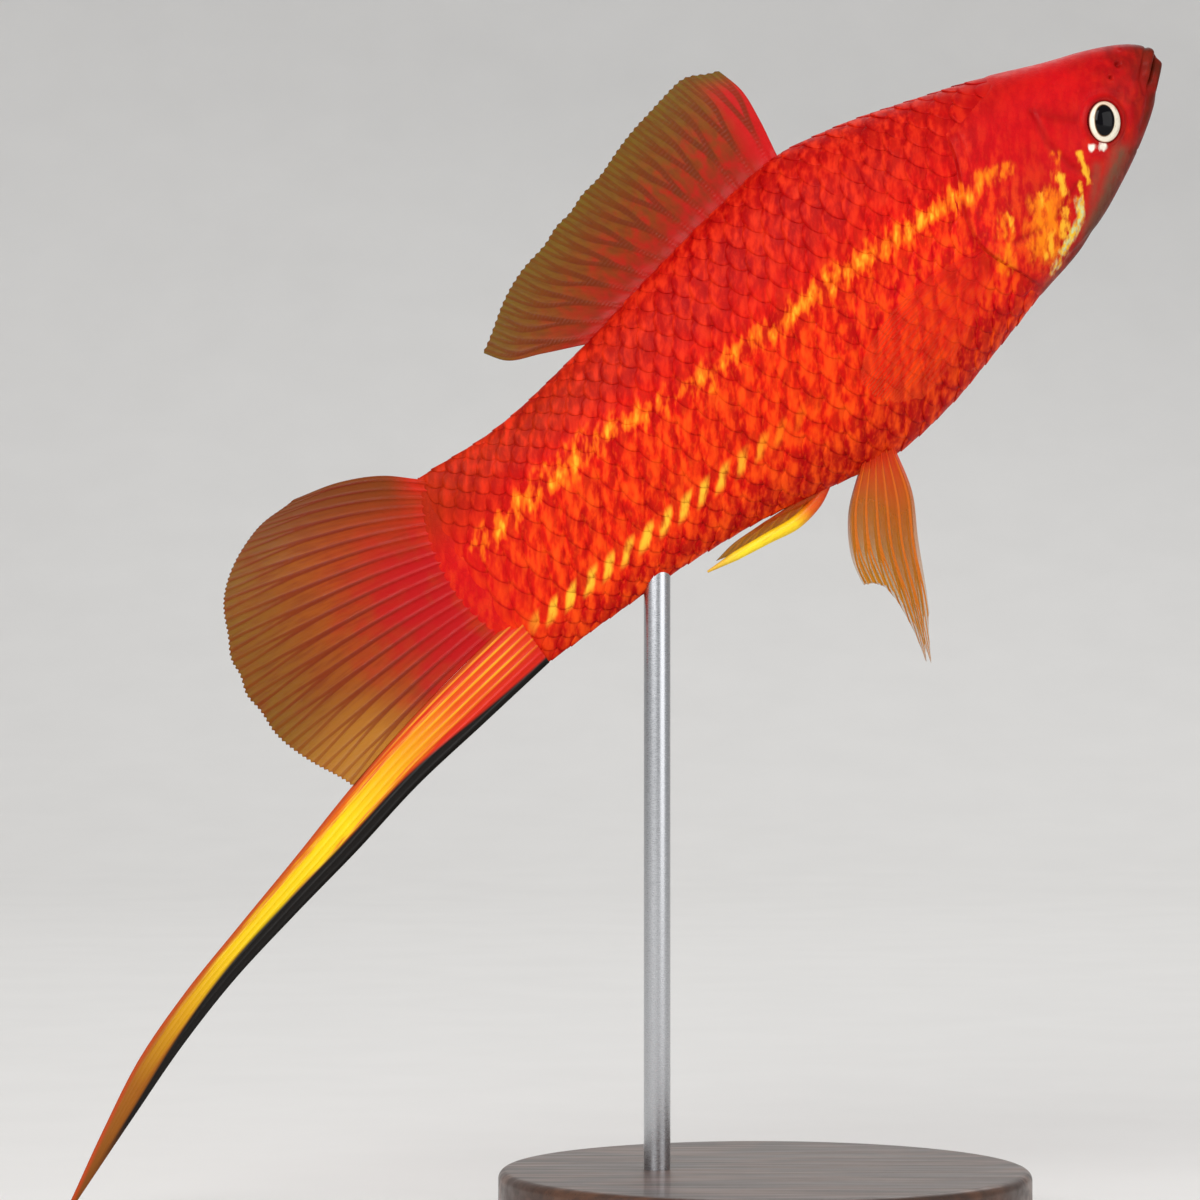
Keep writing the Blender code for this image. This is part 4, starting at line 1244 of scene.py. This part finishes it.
def eye_finish():
    """Eye: black pupil, thin gold ring, ivory iris with fine threads and a dark edge."""
    nodes = Graph("eye_surface")
    out, pupil, up, _ = nodes.parts("eye")
    threads = nodes.noise(nodes.parts("fish")[3], 2.2, 3.0)
    colour = out.ramp([(0.0, (220, 200, 160)), (0.70, (250, 242, 222)), (0.94, (244, 232, 210)),
                       (0.99, (176, 110, 84)), (1.0, (90, 10, 10))])
    on_iris = pupil.span(1.0, 1.15) * out.span(1.0, 0.93)
    colour = colour.paint((156, 122, 80), threads.span(0.5, 0.72) * on_iris * 0.4)
    colour = colour.paint((214, 150, 104), up.span(0.3, 0.9) * on_iris * 0.4)
    colour = colour.paint((120, 84, 40), pupil.span(1.12, 1.04))
    colour = colour.paint((3, 2, 5), pupil.span(1.05, 1.0))
    rough = pupil.span(0.95, 1.05, 0.06, 0.2)
    relief = threads * on_iris
    return nodes.finish(colour, rough, Specular_IOR_Level=0.15,
                        Coat_Weight=0.05, Coat_Roughness=0.04, Normal=relief.bump(0.25, 0.04))


def eye_piece(name, hand, finish):
    """Flattened ball facing out of the cheek, with a raised pupil."""
    skin, outer = flank_point(np.full(2, EYE_BEHIND), np.full(2, EYE_HEIGHT), 1, np.arange(2.0))
    normal = outer - skin
    upright_axis = np.array((-CLIMB, 0.0, LEVEL))
    upright_axis = upright_axis - normal * (upright_axis @ normal)
    upright_axis /= np.linalg.norm(upright_axis)
    level = np.cross(normal, upright_axis)
    rings, segments = 48, 72
    polar = np.linspace(0.0, 1.0, rings)[:, None] * math.pi * 0.999 + 0.0005
    turn = np.linspace(0, 2 * math.pi, segments, endpoint=False)[None]
    out, y = np.sin(polar), np.cos(polar)
    x, z = out * np.cos(turn), out * np.sin(turn)
    front = y > 0
    pupil = np.hypot((x - 0.14) / PUPIL_SHARE[0], (z - 0.04) / PUPIL_SHARE[1]) / SOCKET_SHARE
    y = y + np.where(front, 0.06 * rise(1.12, 0.88, pupil) - 0.04 * hump(pupil - 1.2, 0.1), 0.0)
    points = (skin - normal * EYE_SUNK + level * (x * EYE_RADII[0])[..., None]
              + normal * (y * EYE_RADII[1])[..., None]
              + upright_axis * (z * EYE_RADII[2])[..., None])
    seen = np.where(front, out / SOCKET_SHARE, 1.2)
    note = bundle(np.clip(seen, 0, 1.2), np.where(front, pupil, 3.0), z)
    points = points * (1.0, hand, 1.0)
    piece = tube_piece(name, world(points), finish, {"fish": points, "eye": note})
    return piece


# Stand

def lathe(name, x, profile, segments, finish):
    """Turned piece about an upright axis at x, from (radius, height) in millimetres."""
    angle = np.linspace(0, 2 * math.pi, segments, endpoint=False)[None]
    profile = np.array(profile)
    radius, height = profile[:, :1], profile[:, 1:]
    places = bundle(x + radius * np.cos(angle), radius * np.sin(angle), height) * MM
    return tube_piece(name, places, finish, {"stand": places / MM})


def rounded(radius, low, high, bevel):
    """Profile of a disc or rod with rounded edges."""
    turns = np.linspace(0, math.pi / 2, 7)
    out, up = radius - bevel, bevel * np.sin(turns)
    away = bevel * np.cos(turns)
    inner = out - 0.3 * bevel
    return [(inner, low), *zip(out + up, low + bevel - away), *zip(out + away, high - bevel + up),
            (inner, high)]


def walnut_finish():
    nodes = Graph("stand_wood")
    place = nodes.parts("stand")[3]
    warp = nodes.noise(place, 0.05, 4.0, (0.4, 1.0, 1.0))
    grain = nodes.noise(place, 0.6, 6.0, (0.12, 1.6, 1.6))
    rings = (warp * 60.0).math("SINE").span(-1.0, 1.0)
    colour = rings.between((92, 58, 38), (64, 38, 24))
    colour = colour.paint((48, 28, 18), grain.span(0.4, 0.7, 0.0, 0.7))
    pores = nodes.noise(place, 2.5, 2.0, (0.15, 3.0, 3.0))
    colour = colour.paint((34, 20, 13), pores.span(0.58, 0.7, 0.0, 0.7))
    rough = grain.span(0.3, 0.7, 0.34, 0.5)
    return nodes.finish(colour, rough, Coat_Weight=0.2,
                        Normal=(grain + pores).bump(0.25, 0.04))


def steel_finish():
    nodes = Graph("stand_steel")
    place = nodes.parts("stand")[3]
    brush = nodes.noise(place, 1.0, 4.0, (3.0, 3.0, 40.0))
    colour = brush.between((176, 178, 182), (206, 207, 210))
    rough = brush.span(0.2, 0.8, 0.22, 0.36)
    return nodes.finish(colour, rough, Metallic=1.0,
                        Normal=brush.bump(0.08, 0.01))


def stand_pieces():
    base = lathe("stand_base_wood", BASE_X, rounded(BASE_RADIUS, 0.0, BASE_HEIGHT, BASE_BEVEL),
                 192, walnut_finish())
    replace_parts(base, "stand_base")
    rod = lathe("stand_rod_steel", ROD_X, rounded(ROD_RADIUS, ROD_FOOT, ROD_TOP, 0.15), 64,
                steel_finish())
    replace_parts(rod, "stand_rod")


# Studio

def floor_finish():
    nodes = Graph("studio_floor")
    place = nodes.node("TexCoord", out="Object")
    speck = nodes.noise(place, 60.0, 3.0)
    colour = speck.between((232, 230, 227), (238, 236, 233))
    return nodes.finish(colour, 0.85)


def sweep_piece():
    """Pale floor that curves up into a backdrop."""
    turns = np.linspace(0.1, math.pi / 2, 14)
    depth = [FLOOR_FRONT, BEND_START, *(BEND_START + BEND_RADIUS * np.sin(turns)),
             BEND_START + BEND_RADIUS]
    climb = [0.0, 0.0, *(BEND_RADIUS - BEND_RADIUS * np.cos(turns)), BACKDROP_TOP]
    sides = (-FLOOR_HALF_WIDTH, FLOOR_HALF_WIDTH)
    places = [(x, y, z) for y, z in zip(depth, climb) for x in sides]
    mesh = bpy.data.meshes.new("studio_sweep")
    mesh.from_pydata(places, [], grid_faces(len(depth), 2).tolist())
    mesh.shade_smooth()
    mesh.materials.append(floor_finish())
    sweep = put("studio_sweep", mesh)


def light_up():
    for name, place, size, power in LAMPS:
        lamp = bpy.data.lights.new(name, "AREA")
        lamp.size = size
        lamp.energy = power
        light = put(name, lamp)
        light.location = place
        aim = Vector(LAMP_TARGET) - Vector(place)
        light.rotation_euler = aim.to_track_quat("-Z", "Y").to_euler()
    sky = bpy.data.worlds.new("studio")
    sky.use_nodes = True
    background = sky.node_tree.nodes["Background"]
    background.inputs[0].default_value = SKY_COLOUR
    background.inputs[1].default_value = SKY_STRENGTH
    bpy.context.scene.world = sky


def set_camera():
    lens = bpy.data.cameras.new("camera")
    lens.lens = CAMERA_LENS
    lens.sensor_width = SENSOR_WIDTH
    lens.clip_start = 0.01
    camera = put("camera", lens)
    camera.location = Vector(CAMERA_PLACE) * MM
    camera.rotation_euler = (math.pi / 2, 0.0, 0.0)
    bpy.context.scene.camera = camera
    bpy.context.scene.view_settings.view_transform = "Standard"


def main():
    skin_piece()
    scales_piece("scales_left", 1)
    scales_piece("scales_right", -1)
    dorsal_piece()
    tail_piece()
    sword_piece()
    pelvic = fin_finish(
        "fin_pelvics",
        [(0.0, (210, 40, 4)), (0.3, (172, 88, 2)), (1.0, (160, 124, 6))],
        (146, 110, 4), (200, 96, 10), (0.7, 0.24))
    pectoral = fin_finish(
        "fin_pectorals",
        [(0.0, (220, 24, 12)), (0.3, (230, 50, 16)), (1.0, (236, 90, 30))],
        (230, 60, 16), (228, 44, 10), (0.16, 0.05), ray_alpha=0.28)
    eye = eye_finish()
    for hand, side in ((1, "left"), (-1, "right")):
        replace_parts(pelvic_piece("pelvic_web_" + side, hand, pelvic), "pelvic_fin_" + side)
        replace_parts(pectoral_piece("pectoral_web_" + side, hand, pectoral),
                    "pectoral_fin_" + side)
        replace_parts(eye_piece("eye_ball_" + side, hand, eye), "eye_" + side)
    gonopodium_pieces()
    stand_pieces()
    sweep_piece()
    light_up()
    set_camera()


main()
